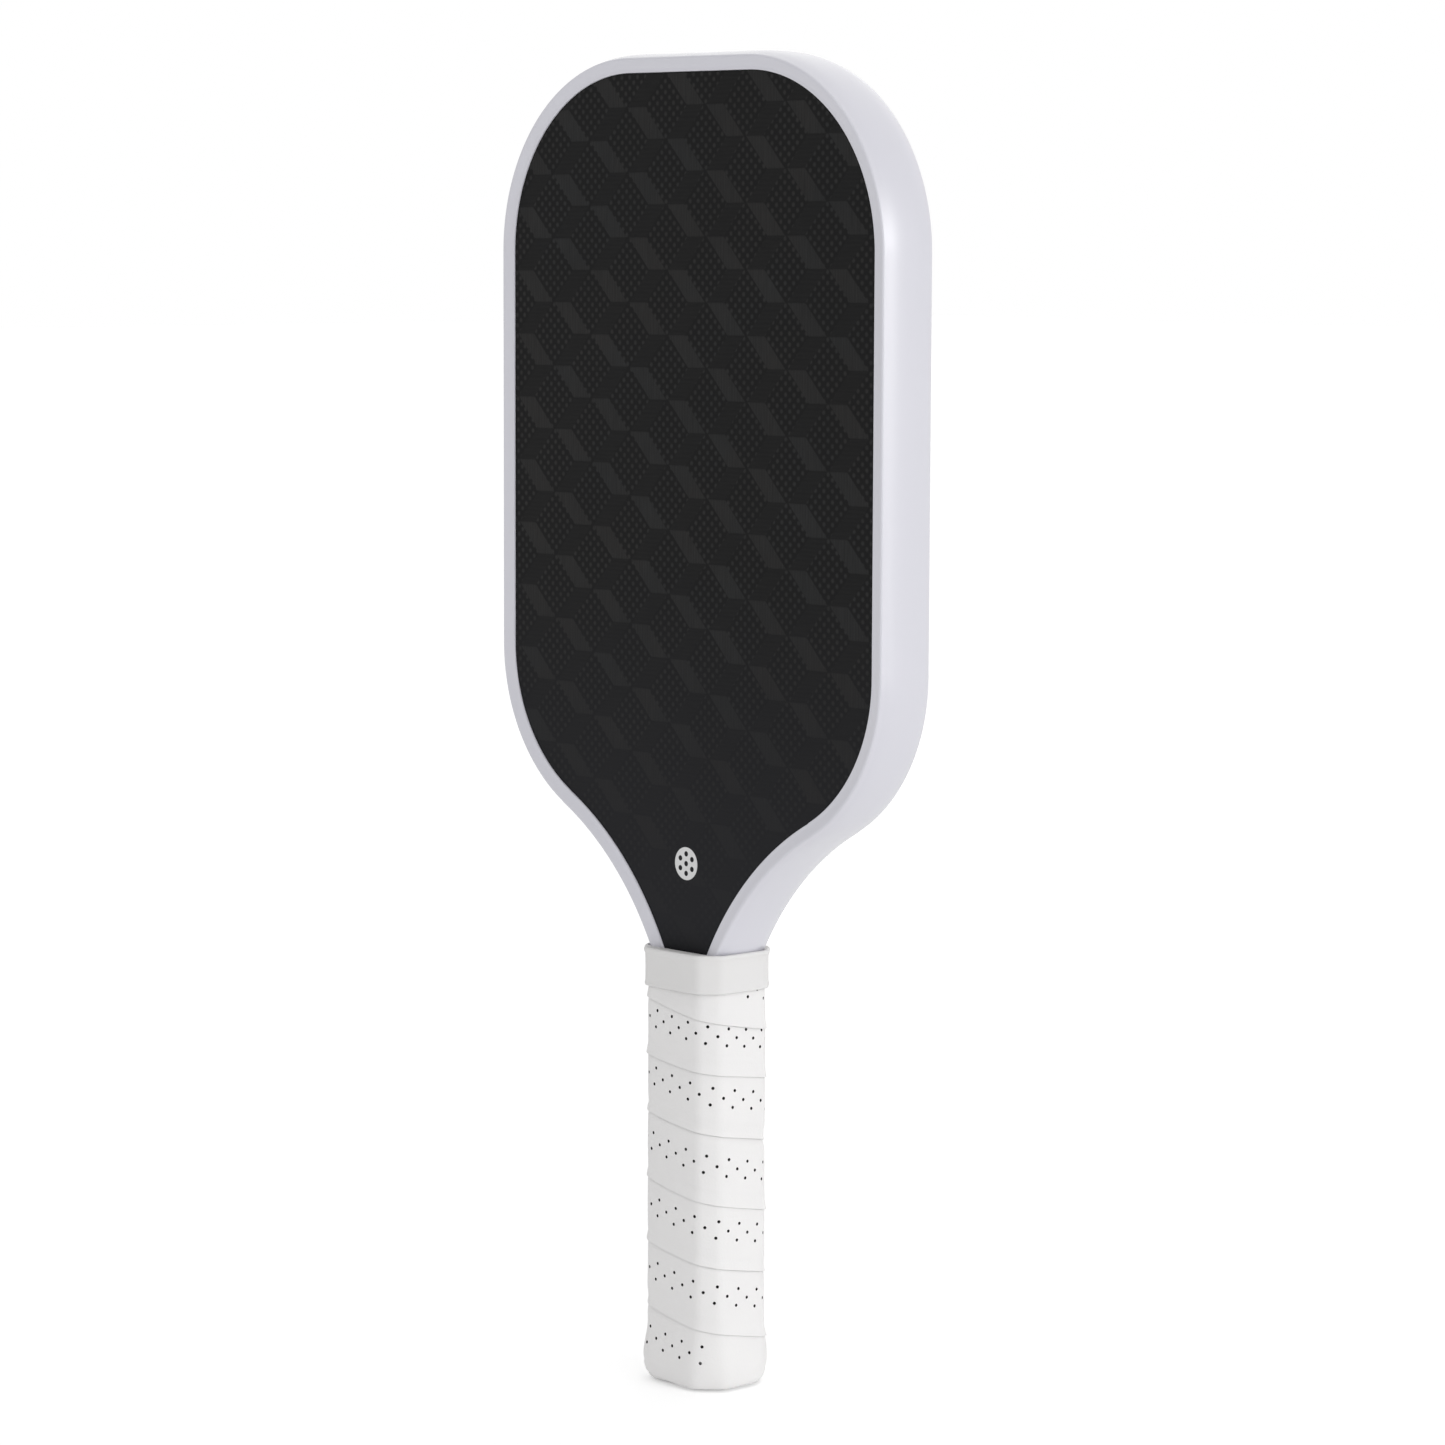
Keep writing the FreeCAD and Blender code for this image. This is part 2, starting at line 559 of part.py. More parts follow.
def butt_cap():
    """A moulded cup over the lower end of the handle, with a rounded bottom edge."""
    body = new_body("butt_cap")
    outside = new_sketch(body, "cap_outside", "XY_Plane")
    grip_octagon(outside, CAP_INSET)
    block = pad(body, "cap_block", outside, "Sizes.cap_height")
    corners = fillet(body, "cap_corners", block, facet_edges(block.Shape, CAP_INSET), "Sizes.grip_corner")
    rounded = fillet(body, "cap_bottom_edge", corners, level_edges(corners.Shape, 0.0), "Sizes.cap_round")
    inside = new_sketch(body, "cap_inside", "XY_Plane", "Sizes.cap_floor")
    grip_octagon(inside, PALLET_INSET)
    hollow = pocket(body, "cap_bore", inside, "Sizes.cap_height", reverse=True)
    fillet(body, "cap_bore_corners", hollow, facet_edges(hollow.Shape, PALLET_INSET),
           "Sizes.grip_corner - (%s)" % PALLET_INSET)
    side = "Sizes.grip_depth/2 - (%s)" % CAP_INSET
    for name, sign in (("front", 1), ("rear", -1)):
        crown = new_sketch(body, "cap_crown_" + name, "XZ_Plane", "%d*(%s)" % (sign, side))
        half = "Sizes.staple_crown/2"
        rectangle(crown, ((-1, half), (1, "Sizes.staple_height - Sizes.staple_wire/2"),
                          (1, half), (1, "Sizes.staple_height + Sizes.staple_wire/2")))
        pocket(body, "cap_crown_cut_" + name, crown, "Sizes.staple_flat", reverse=sign < 0)
        staple_holes(body, "cap_" + name, sign, "Sizes.staple_leg")


def butt_cap_staples():
    """Two flat-wire staples, front and rear, that pin the cap to the pallets."""
    half_crown = "Sizes.staple_crown/2"
    face = "(Sizes.grip_depth/2 - (%s))" % CAP_INSET
    staples = []
    for name, sign in (("front", -1), ("rear", 1)):
        solids = []
        crown = doc.addObject("Part::Box", "staple_crown_" + name)
        crown.setExpression("Length", "Sizes.staple_crown")
        crown.setExpression("Width", "Sizes.staple_flat")
        crown.setExpression("Height", "Sizes.staple_wire")
        crown.setExpression("Placement.Base.x", "-1*%s" % half_crown)
        near = "-1*%s" % face if sign < 0 else "%s - Sizes.staple_flat" % face
        crown.setExpression("Placement.Base.y", near)
        crown.setExpression("Placement.Base.z", "Sizes.staple_height - Sizes.staple_wire/2")
        solids.append(crown)
        for hand, label in ((1, "right"), (-1, "left")):
            leg = doc.addObject("Part::Box", "staple_leg_%s_%s" % (name, label))
            leg.setExpression("Length", "Sizes.staple_flat")
            leg.setExpression("Width", "Sizes.staple_leg")
            leg.setExpression("Height", "Sizes.staple_wire")
            inner = "%s - Sizes.staple_flat" % half_crown if hand > 0 else "-1*%s" % half_crown
            leg.setExpression("Placement.Base.x", inner)
            start = "-1*%s" % face if sign < 0 else "%s - Sizes.staple_leg" % face
            leg.setExpression("Placement.Base.y", start)
            leg.setExpression("Placement.Base.z", "Sizes.staple_height - Sizes.staple_wire/2")
            solids.append(leg)
        staple = doc.addObject("Part::MultiFuse", "staple_" + name)
        staple.Shapes = solids
        staples.append(staple)
    group = doc.addObject("Part::Compound", "butt_cap_staples")
    group.Links = staples
    group.Label = "butt_cap_staples"
    pieces.append(group)


def grip_wrap():
    """The cushion grip as one sleeve, wider where it goes over the butt cap."""
    body = new_body("grip_wrap")
    outside = new_sketch(body, "grip_outside", "XY_Plane", "Sizes.cap_height")
    grip_octagon(outside, "0")
    block = pad(body, "grip_block", outside, "Sizes.grip_top - Sizes.cap_height")
    fillet(body, "grip_corners", block, facet_edges(block.Shape, "0"), "Sizes.grip_corner")
    over_cap = CAP_INSET + " - Sizes.grip_thickness"
    flared = new_sketch(body, "grip_flare_outside", "XY_Plane", "Sizes.grip_bottom")
    grip_octagon(flared, over_cap)
    skirt = pad(body, "grip_flare", flared, "Sizes.cap_height + Sizes.grip_thickness - Sizes.grip_bottom")
    rounded = fillet(body, "grip_flare_corners", skirt, facet_edges(skirt.Shape, over_cap),
                     "Sizes.grip_corner + Sizes.grip_thickness")
    fillet(body, "grip_bottom_edge", rounded, level_edges(rounded.Shape, size["grip_bottom"]),
           "Sizes.grip_bottom_round")
    inside = new_sketch(body, "grip_inside", "XY_Plane", "Sizes.grip_bottom")
    grip_octagon(inside, "Sizes.grip_thickness")
    hollow = pocket(body, "grip_bore", inside, "Sizes.grip_top", reverse=True)
    fillet(body, "grip_bore_corners", hollow, facet_edges(hollow.Shape, "Sizes.grip_thickness"),
           "Sizes.grip_corner - Sizes.grip_thickness")
    seat = new_sketch(body, "grip_cap_seat", "XY_Plane", "Sizes.grip_bottom")
    grip_octagon(seat, CAP_INSET)
    wide = pocket(body, "grip_cap_bore", seat, "Sizes.cap_height - Sizes.grip_bottom", reverse=True)
    fillet(body, "grip_cap_corners", wide, facet_edges(wide.Shape, CAP_INSET), "Sizes.grip_corner")


def grip_collar():
    """A rubber ring over the top of the grip, with a flange that closes on the neck."""
    body = new_body("grip_collar")
    proud = "-1*Sizes.collar_proud"
    clear = "-1*Sizes.collar_bore"
    outside = new_sketch(body, "collar_outside", "XY_Plane", "Sizes.collar_bottom")
    grip_octagon(outside, proud)
    block = pad(body, "collar_block", outside, "Sizes.collar_top - Sizes.collar_bottom")
    corners = fillet(body, "collar_corners", block, facet_edges(block.Shape, proud),
                     "Sizes.grip_corner + Sizes.collar_proud")
    ends = level_edges(corners.Shape, size["collar_top"]) + level_edges(corners.Shape, size["collar_bottom"])
    fillet(body, "collar_edges", corners, ends, "Sizes.collar_round")
    inside = new_sketch(body, "collar_inside", "XY_Plane", "Sizes.collar_bottom")
    grip_octagon(inside, clear)
    hollow = pocket(body, "collar_hollow", inside, "Sizes.collar_flange - Sizes.collar_bottom", reverse=True)
    fillet(body, "collar_hollow_corners", hollow, facet_edges(hollow.Shape, clear),
           "Sizes.grip_corner + Sizes.collar_bore")
    slot = new_sketch(body, "collar_slot", "XY_Plane", "Sizes.collar_flange")
    octagon(slot, "Sizes.collar_slot_half_x", "Sizes.collar_slot_half_y", "Sizes.collar_slot_corner")
    pocket(body, "collar_slot_cut", slot, "Sizes.collar_top", reverse=True)


# ---------------------------------------------------------------- assembly

edge_guard()
edge_guard_adhesive()
for side_name, side_sign in (("front", 1), ("rear", -1)):
    blade_layer(side_name + "_weave_skin", side_sign, SKIN_IN, "Sizes.skin_thickness")
    blade_layer(side_name + "_backing_ply", side_sign, PLY_IN, "Sizes.ply_thickness")
    blade_layer(side_name + "_adhesive_film", side_sign, FILM_IN, "Sizes.film_thickness")
    handle_pallet(side_name + "_handle_pallet", side_sign)
    pallet_adhesive(side_name + "_pallet_adhesive", side_sign)
perimeter_foam()
handle_core()
doc.recompute()
honeycomb_core()
butt_cap()
butt_cap_staples()
sleeve("grip_backing_tape", "Sizes.cap_height", "Sizes.backing_top", "Sizes.grip_thickness", PALLET_INSET)
grip_wrap()
sleeve("finishing_tape", "Sizes.finish_bottom", "Sizes.grip_top", "-1*Sizes.finish_thickness", "0")
grip_collar()
doc.recompute()

for item in doc.Objects:
    if "Invalid" in item.State or "Error" in item.State:
        raise RuntimeError("%s did not compute: %s" % (item.Name, item.State))
for piece in pieces:
    if piece.Shape.isNull() or not piece.Shape.isValid():
        raise RuntimeError("%s has no valid shape" % piece.Label)

os.makedirs("parts", exist_ok=True)
for piece in pieces:
    piece.Shape.exportStep("parts/%s.step" % piece.Label)
    print(piece.Label, "solids", len(piece.Shape.Solids), "volume", round(piece.Shape.Volume, 1))
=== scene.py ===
import json
import math

import bpy
import numpy as np
from mathutils import Matrix, Vector, noise


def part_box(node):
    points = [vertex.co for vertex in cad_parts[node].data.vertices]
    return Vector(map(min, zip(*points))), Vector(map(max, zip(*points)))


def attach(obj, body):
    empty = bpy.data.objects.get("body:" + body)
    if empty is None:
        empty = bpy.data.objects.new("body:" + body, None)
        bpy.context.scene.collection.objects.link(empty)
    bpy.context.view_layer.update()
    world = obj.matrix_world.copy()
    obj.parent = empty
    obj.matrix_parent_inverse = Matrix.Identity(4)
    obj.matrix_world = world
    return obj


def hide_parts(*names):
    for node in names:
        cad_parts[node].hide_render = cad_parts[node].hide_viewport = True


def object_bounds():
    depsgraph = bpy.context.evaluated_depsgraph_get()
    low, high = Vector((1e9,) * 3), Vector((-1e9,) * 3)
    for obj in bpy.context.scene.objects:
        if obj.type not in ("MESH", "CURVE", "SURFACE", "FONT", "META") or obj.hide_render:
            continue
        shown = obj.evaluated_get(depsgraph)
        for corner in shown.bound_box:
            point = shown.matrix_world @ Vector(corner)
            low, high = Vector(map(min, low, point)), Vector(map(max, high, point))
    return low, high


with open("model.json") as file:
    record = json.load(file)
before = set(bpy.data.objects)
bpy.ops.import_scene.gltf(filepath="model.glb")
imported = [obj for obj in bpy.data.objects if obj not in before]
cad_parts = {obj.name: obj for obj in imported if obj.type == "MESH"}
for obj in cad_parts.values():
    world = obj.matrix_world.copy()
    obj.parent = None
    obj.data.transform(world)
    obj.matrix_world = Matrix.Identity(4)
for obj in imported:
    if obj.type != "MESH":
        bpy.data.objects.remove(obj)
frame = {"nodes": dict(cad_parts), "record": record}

# A pickleball paddle standing on its butt. Blender works in metres; the sizes below are in
# millimetres. +Z runs up to the head and the front face looks along -Y.
MM = 0.001
CAD_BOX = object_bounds()

# The camera stands to the right of the front face and looks slightly down.
CAMERA_AZIMUTH = 47.31
CAMERA_ELEVATION = 6.16
CAMERA_ROLL = 0.215
CAMERA_DISTANCE = 1.4556
CAMERA_TARGET = Vector((0.00684, 0.0, 0.21151))
CAMERA_LENS = 115.77
CAMERA_SENSOR = 36.0
CAMERA_REACH = 100.0

# The studio's light by direction: an even part, a weak ceiling and three soft side lights, each
# with a direction, a strength and how narrow it is.
AMBIENT = 0.62
CEILING, CEILING_POWER = 0.25, 4.0
SIDE_LIGHTS = (
    (Vector((0.92, -0.36, 0.18)).normalized(), 0.85, 8.0),
    (Vector((0.96, 0.25, 0.10)).normalized(), 3.7, 24.0),
    (Vector((-0.55, 0.75, 0.30)).normalized(), 0.50, 4.0),
)
BACKGROUND_WHITE = 1.0

# The floor's half width in metres, and its glow: everywhere, and more where it is seen directly.
FLOOR_REACH = 12.0
FLOOR_GLOW, FLOOR_EXTRA = 0.10, 0.215

# The guard's outline: from the top of the head down to the neck it is straight, round the corner,
# straight, round the shoulder, and hollow along the neck.
HEAD_HALF_WIDTH = CAD_BOX[1][0] / MM
HEAD_TOP = CAD_BOX[1][2] / MM
CORNER_RADIUS = 61.1
SHOULDER_RADIUS = 57.7
SHOULDER_HEIGHT = 231.1
NECK_RADIUS = 101.3
NECK_CENTRE = (105.3, 90.5)
GUARD_BOTTOM = 134.0
GUARD_HALF_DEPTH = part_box("edge_guard")[1].y / MM
FACE_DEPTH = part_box("rear_weave_skin")[1].y / MM
PATH_STEP = 1.6

# Its section: a crowned wall that stands a little proud, a round corner, and a lip that slopes
# down to a raised bead beside the face.
GUARD_WALL = 1.6
GUARD_LIP = 5.6
GUARD_CROWN = 1.2
GUARD_PROUD = 0.4
WALL_STEPS = 9
GUARD_CORNER = 0.8
CORNER_STEPS = 5
LIP_STEPS = 4
LIP_HOLLOW = 0.85
LIP_EDGE = 0.6
BEAD_WIDTH = 0.9
# The bead's corners: how far back from the lip's inner edge, and how far over the bead's height.
BEAD_CORNERS = ((0.6, 0.04), (0.25, 0.0), (0.08, -0.1))
BEAD_FOOT = 0.06

# The grip's octagon over the strip: the backing tape's outside plus the grip's thickness.
GRIP_THICKNESS = 1.6
FACET_LEG = 5.2
FACET_RADIUS = 5.6
TAPE_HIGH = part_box("grip_backing_tape")[1]
HALF_WIDTH = TAPE_HIGH.x / MM + GRIP_THICKNESS
HALF_DEPTH = TAPE_HIGH.y / MM + GRIP_THICKNESS
# How far the padding crowns the wide, the narrow and the corner facets.
CROWNS = (1.0, 0.65, 0.15)
# The padding starts above the butt and ends below the collar, each over a short ramp.
PADDING_LOW, PADDING_LOW_RAMP = 1.0, 8.0
PADDING_HIGH, PADDING_HIGH_RAMP = 127.0, 9.0

# The grip strip, wound upwards from the butt with each turn over the top of the last one.
# Distances along it count from the front centre line of its first turn.
STRIP_WIDTH = 24.6
STRIP_CELLS = 37
STRIP_FULL = 1.4
LOWER_EDGE_THICKNESS = 0.66
UPPER_EDGE_THICKNESS = 0.12
SKIVE_WIDTH = 6.0
# Within EDGE_ROUND of an edge, the strip rounds down to EDGE_SHARE of its thickness.
EDGE_ROUND = 0.15
EDGE_SHARE = 0.4
LAYER_GAP = 0.02
BRIDGE = 1.0
STRIP_TIP = -100.0
TAPER_START = -15.5
TIP_LENGTH = 8.0
OVERLAP = 5.0
STRIP_TOP = 131.8
STRIP_BOTTOM = 1.0
BOTTOM_SQUEEZE = 6.0
TOP_SQUEEZE = 1.0
TOP_SLACK = 1.5
# Height of the strip's middle after so many turns.
WRAP_TURNS = (-1.0, -0.35, -0.12, 0.09, 0.645, 1.09, 1.645, 2.09, 2.645, 3.09, 3.645, 4.09, 4.645,
              5.09, 5.645, 6.09, 7.0)
WRAP_HEIGHTS = (10.0, 10.2, 12.3, 14.9, 27.7, 36.9, 48.7, 57.7, 68.6, 78.2, 91.3, 99.3, 111.3,
                117.8, 126.4, 135.9, 153.0)
WRAP_BLEND = 0.09
WRAP_FROM, WRAP_TO, WRAP_STEP = -1.2, 7.2, 0.005
# The unevenness of a hand-wound cushion: waves per millimetre along and up, and its depth. It
# fades out within WOBBLE_EDGE of an edge.
WOBBLE_ALONG, WOBBLE_UP, WOBBLE_LAYER = 0.045, 0.11, 3.7
WOBBLE_DEPTH = 0.12
WOBBLE_EDGE = 3.0

# Perforations: three rows, the middle one set half a step along. The hand's pull varies, so the
# spacing does too: after so many holes, the strip has made so many turns.
HOLE_COUNTS = (0, 3, 12, 17, 31, 46, 60, 69, 75, 86)
HOLE_TURNS = (-0.118, 0.092, 0.696, 1.058, 2.050, 3.079, 4.067, 4.679, 5.061, 5.79)
HOLE_CELLS = 12
HOLE_ROW_CELLS = 4
# Each hole takes a patch of PATCH by PATCH cells, whose RIM points join the hole's ring.
PATCH = 3
RIM = 4 * PATCH
HOLE_RADIUS = 0.52
HOLE_LAST = 642.0
HOLE_DIMPLE = 0.07

# The butt: the cap's skirt lifts the strip, the strip's start under it makes one corner facet
# broader, and the bottom edge is round.
CAP_LIFT = 1.3
CAP_ROUND = 3.4
CAP_TOP = 12.0
CAP_WALL = 0.9
CAP_FLOOR = 3.0
CAP_LEG = 7.6
CAP_CROWNS = (0.3, 0.3, 0.8)
CAP_POINTS = 160
CAP_BEND_STEPS = 10
# Rings of the flat bottom, and of the cup's own floor, as shares of the ring beside them.
CAP_BOTTOM_SHARES = (0.4, 0.8)
CAP_FLOOR_SHARE = 0.9
FLARE_LOW, FLARE_HIGH = 8.0, 20.0
LEG_LOW, LEG_HIGH = 2.0, 26.0
# Where round the handle the broad facet is, how far it reaches, and how much less it is lifted.
LEG_MIDDLE, LEG_NEAR, LEG_FAR = 16.0, 16.0, 30.0
LEG_DROP = 0.3

# The collar: its outside stands proud of the grip, with a bead along its top and bottom edges.
COLLAR_LOW, COLLAR_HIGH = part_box("grip_collar")
COLLAR_LEG = FACET_LEG + 0.7
COLLAR_RADIUS = 5.0
COLLAR_CROWNS = (0.25, 0.2, 0.05)
COLLAR_BORE = -0.98
SLOT_HALF_WIDTH, SLOT_HALF_DEPTH, SLOT_CUT = 16.9, 10.45, 0.7
# The slot's edge: how far down its chamfer starts and ends, and how wide it opens.
SLOT_EDGE_HIGH, SLOT_EDGE_LOW, SLOT_EDGE_GROWN = 0.35, 0.65, 0.25
FLANGE_THICKNESS = 2.2
# Rings across the top flange, as shares of the way from the outside to the slot.
FLANGE_SHARES = (0.35, 0.7)
# The outside from the bottom up: how far out, and how high.
BEADS = ((-0.45, 0.0), (-0.12, 0.12), (0.06, 0.45), (0.1, 0.8), (0.02, 1.2), (-0.08, 1.6), (-0.12, 2.6),
         (-0.14, 4.5), (-0.14, 6.5), (-0.12, 8.5), (-0.05, 10.2), (0.06, 10.6), (0.24, 10.9), (0.34, 11.3),
         (0.32, 11.7), (0.18, 12.05), (-0.1, 12.25), (-0.45, 12.3))


# ---------------------------------------------------------------- camera, light and floor

def place_camera():
    azimuth, elevation, roll = (math.radians(a) for a in (CAMERA_AZIMUTH, CAMERA_ELEVATION, CAMERA_ROLL))
    back = Vector((math.sin(azimuth) * math.cos(elevation), -math.cos(azimuth) * math.cos(elevation),
                   math.sin(elevation)))
    right = Vector((math.cos(azimuth), math.sin(azimuth), 0.0))
    up = back.cross(right)
    across = right * math.cos(roll) + up * math.sin(roll)
    upright = up * math.cos(roll) - right * math.sin(roll)
    data = bpy.data.cameras.new("camera")
    data.sensor_width = CAMERA_SENSOR
    data.lens = CAMERA_LENS
    data.clip_end = CAMERA_REACH
    camera = bpy.data.objects.new("camera", data)
    bpy.context.scene.collection.objects.link(camera)
    turn = Matrix((across, upright, back)).transposed()
    camera.matrix_world = Matrix.Translation(CAMERA_TARGET + back * CAMERA_DISTANCE) @ turn.to_4x4()
    bpy.context.scene.camera = camera


def light_studio():
    world = bpy.data.worlds.new("studio")
    bpy.context.scene.world = world
    world.use_nodes = True
    tree = world.node_tree
    tree.nodes.clear()

    def calc(operation, *values):
        node = tree.nodes.new("ShaderNodeMath")
        node.operation = operation
        for socket, value in zip(node.inputs, values):
            if isinstance(value, bpy.types.NodeSocket):
                tree.links.new(value, socket)
            else:
                socket.default_value = value
        return node.outputs[0]

    def lobe(direction, strength, power):
        dot = tree.nodes.new("ShaderNodeVectorMath")
        dot.operation = "DOT_PRODUCT"
        tree.links.new(place.outputs["Generated"], dot.inputs[0])
        dot.inputs[1].default_value = direction
        facing = calc("MAXIMUM", dot.outputs["Value"], 0.0)
        return calc("MULTIPLY", calc("POWER", facing, power), strength)

    place = tree.nodes.new("ShaderNodeTexCoord")
    level = calc("ADD", lobe(Vector((0, 0, 1)), CEILING, CEILING_POWER), AMBIENT)
    for direction, strength, power in SIDE_LIGHTS:
        level = calc("ADD", level, lobe(direction, strength, power))
    lit = tree.nodes.new("ShaderNodeBackground")
    tree.links.new(level, lit.inputs["Strength"])
    seen = tree.nodes.new("ShaderNodeBackground")
    seen.inputs["Strength"].default_value = BACKGROUND_WHITE
    for background in (lit, seen):
        background.inputs["Color"].default_value = (1.0, 1.0, 1.0, 1.0)
    path = tree.nodes.new("ShaderNodeLightPath")
    choice = tree.nodes.new("ShaderNodeMixShader")
    tree.links.new(path.outputs["Is Camera Ray"], choice.inputs[0])
    tree.links.new(lit.outputs[0], choice.inputs[1])
    tree.links.new(seen.outputs[0], choice.inputs[2])
    output = tree.nodes.new("ShaderNodeOutputWorld")
    tree.links.new(choice.outputs[0], output.inputs["Surface"])
    bpy.context.scene.view_settings.view_transform = "Standard"


def floor_white():
    """Matt white with a faint glow, so that it stays white in soft light."""
    material = mottled("floor_white", grey(0.86), grey(0.88), 2.0, (0.8, 0.95), 300.0, 0.02,
                       Emission_Color=grey(1.0))
    tree = material.node_tree
    seen = tree.nodes.new("ShaderNodeLightPath").outputs["Is Camera Ray"]
    glow = tree.nodes.new("ShaderNodeMath")
    glow.operation = "MULTIPLY_ADD"
    glow.inputs[1].default_value = FLOOR_EXTRA
    glow.inputs[2].default_value = FLOOR_GLOW
    tree.links.new(seen, glow.inputs[0])
    shader = next(node for node in tree.nodes if node.type == "BSDF_PRINCIPLED")
    tree.links.new(glow.outputs[0], shader.inputs["Emission Strength"])
    return material


def lay_floor(material):
    corners = [(x * FLOOR_REACH, y * FLOOR_REACH, 0.0) for x, y in ((-1, -1), (1, -1), (1, 1), (-1, 1))]
    mesh = bpy.data.meshes.new("floor")
    mesh.from_pydata(corners, [], [(0, 1, 2, 3)])
    mesh.materials.append(material)
    floor = bpy.data.objects.new("floor", mesh)
    bpy.context.scene.collection.objects.link(floor)


# ---------------------------------------------------------------- materials

class Finish:
    """A procedural material: a Principled shader and short calls for the nodes that feed it."""

    def __init__(self, name, roughness, metallic=0.0, **sockets):
        self.material = bpy.data.materials.new(name)
        self.material.use_nodes = True
        self.tree = self.material.node_tree
        self.tree.nodes.clear()
        self.shader = self.tree.nodes.new("ShaderNodeBsdfPrincipled")
        output = self.tree.nodes.new("ShaderNodeOutputMaterial")
        self.tree.links.new(self.shader.outputs[0], output.inputs["Surface"])
        self.place = self.tree.nodes.new("ShaderNodeTexCoord").outputs["Object"]
        self.set("Roughness", roughness)
        self.set("Metallic", metallic)
        for socket, value in sockets.items():
            self.set(socket.replace("_", " "), value)

    def feed(self, socket, value):
        if isinstance(value, bpy.types.NodeSocket):
            self.tree.links.new(value, socket)
        else:
            socket.default_value = value

    def set(self, socket, value):
        self.feed(self.shader.inputs[socket], value)

    def math(self, operation, *values, clamp=False):
        node = self.tree.nodes.new("ShaderNodeMath")
        node.operation = operation
        node.use_clamp = clamp
        for socket, value in zip(node.inputs, values):
            self.feed(socket, value)
        return node.outputs[0]

    def mix(self, share, low, high):
        """A colour between two colours."""
        node = self.tree.nodes.new("ShaderNodeMix")
        node.data_type = "RGBA"
        for socket, value in (("Factor_Float", share), ("A_Color", low), ("B_Color", high)):
            self.feed(next(i for i in node.inputs if i.identifier == socket), value)
        return next(o for o in node.outputs if o.identifier == "Result_Color")

    def between(self, share, low, high):
        """A number between two numbers, for a share from 0 to 1."""
        return self.math("MULTIPLY_ADD", share, high - low, low)

    def stretched(self, scale):
        node = self.tree.nodes.new("ShaderNodeVectorMath")
        node.operation = "MULTIPLY"
        self.feed(node.inputs[0], self.place)
        node.inputs[1].default_value = scale
        return node.outputs[0]

    def noise(self, scale, detail=2.0, roughness=0.5, where=None):
        node = self.tree.nodes.new("ShaderNodeTexNoise")
        self.feed(node.inputs["Vector"], where or self.place)
        node.inputs["Scale"].default_value = scale
        node.inputs["Detail"].default_value = detail
        node.inputs["Roughness"].default_value = roughness
        return node.outputs[0]

    def cells(self, scale):
        """Round-edged cells, 0 in their middles."""
        node = self.tree.nodes.new("ShaderNodeTexVoronoi")
        node.feature = "SMOOTH_F1"
        self.feed(node.inputs["Vector"], self.place)
        node.inputs["Scale"].default_value = scale
        return node.outputs["Distance"]

    def bump(self, height, depth_mm):
        """Relief on the shader: HEIGHT from 0 to 1 over a depth in millimetres."""
        node = self.tree.nodes.new("ShaderNodeBump")
        node.inputs["Strength"].default_value = 1.0
        node.inputs["Distance"].default_value = depth_mm * MM
        self.feed(node.inputs["Height"], height)
        self.set("Normal", node.outputs[0])


def grey(level, blue=1.0, red=1.0):
    """A grey, with its blue and its red as shares of it."""
    return (level * red, level, level * blue, 1.0)


def mottled(name, low, high, scale, roughness, grain_scale, grain_mm, **sockets):
    """A finish with a slow change of colour and roughness, and a fine grain."""
    finish = Finish(name, roughness[0], **sockets)
    finish.set("Base Color", finish.mix(finish.noise(scale, 3.0), low, high))
    finish.set("Roughness", finish.between(finish.noise(scale * 2.3, 4.0), *roughness))
    finish.bump(finish.noise(grain_scale, 3.0, 0.6), grain_mm)
    return finish.material


def guard_white():
    """Glossy moulded plastic, faintly lilac, with a slight moulded waviness."""
    finish = Finish("guard_satin_plastic", 0.3, Specular_IOR_Level=0.9, Coat_Weight=0.8,
                    Coat_Roughness=0.24)
    tone = finish.noise(28.0, 3.0)
    finish.set("Base Color", finish.mix(tone, (0.654, 0.650, 0.710, 1.0), (0.670, 0.666, 0.726, 1.0)))
    finish.set("Roughness", finish.between(finish.noise(90.0, 2.0), 0.28, 0.30))
    finish.bump(finish.noise(420.0, 1.0), 0.003)
    return finish.material


def grip_white():
    """Soft matt polyurethane with a fine leather-like pebble and faint creases along the strip."""
    finish = Finish("grip_white_cushion", 0.6, Specular_IOR_Level=0.35)
    tone = finish.noise(60.0, 4.0)
    finish.set("Base Color", finish.mix(tone, grey(0.815, 1.0, 1.01), grey(0.855, 0.995, 1.01)))
    finish.set("Roughness", finish.between(finish.noise(240.0, 3.0), 0.52, 0.70))
    pebble = finish.cells(1500.0)
    crease = finish.noise(130.0, 3.0, 0.55, finish.stretched((1.0, 1.0, 2.6)))
    finish.bump(finish.math("MULTIPLY_ADD", crease, 2.2, pebble), 0.035)
    return finish.material


def collar_rubber():
    """Smooth white rubber with a slight bloom."""
    finish = Finish("collar_white_rubber", 0.5, Specular_IOR_Level=0.4)
    tone = finish.noise(90.0, 3.0)
    finish.set("Base Color", finish.mix(tone, grey(0.745, 0.99, 1.01), grey(0.775, 1.0, 1.01)))
    finish.set("Roughness", finish.between(finish.noise(200.0, 3.0), 0.44, 0.58))
    ripple = finish.noise(70.0, 2.0, 0.5, finish.stretched((1.0, 1.0, 3.0)))
    finish.bump(finish.math("MULTIPLY_ADD", ripple, 1.5, finish.noise(1800.0, 2.0)), 0.02)
    return finish.material


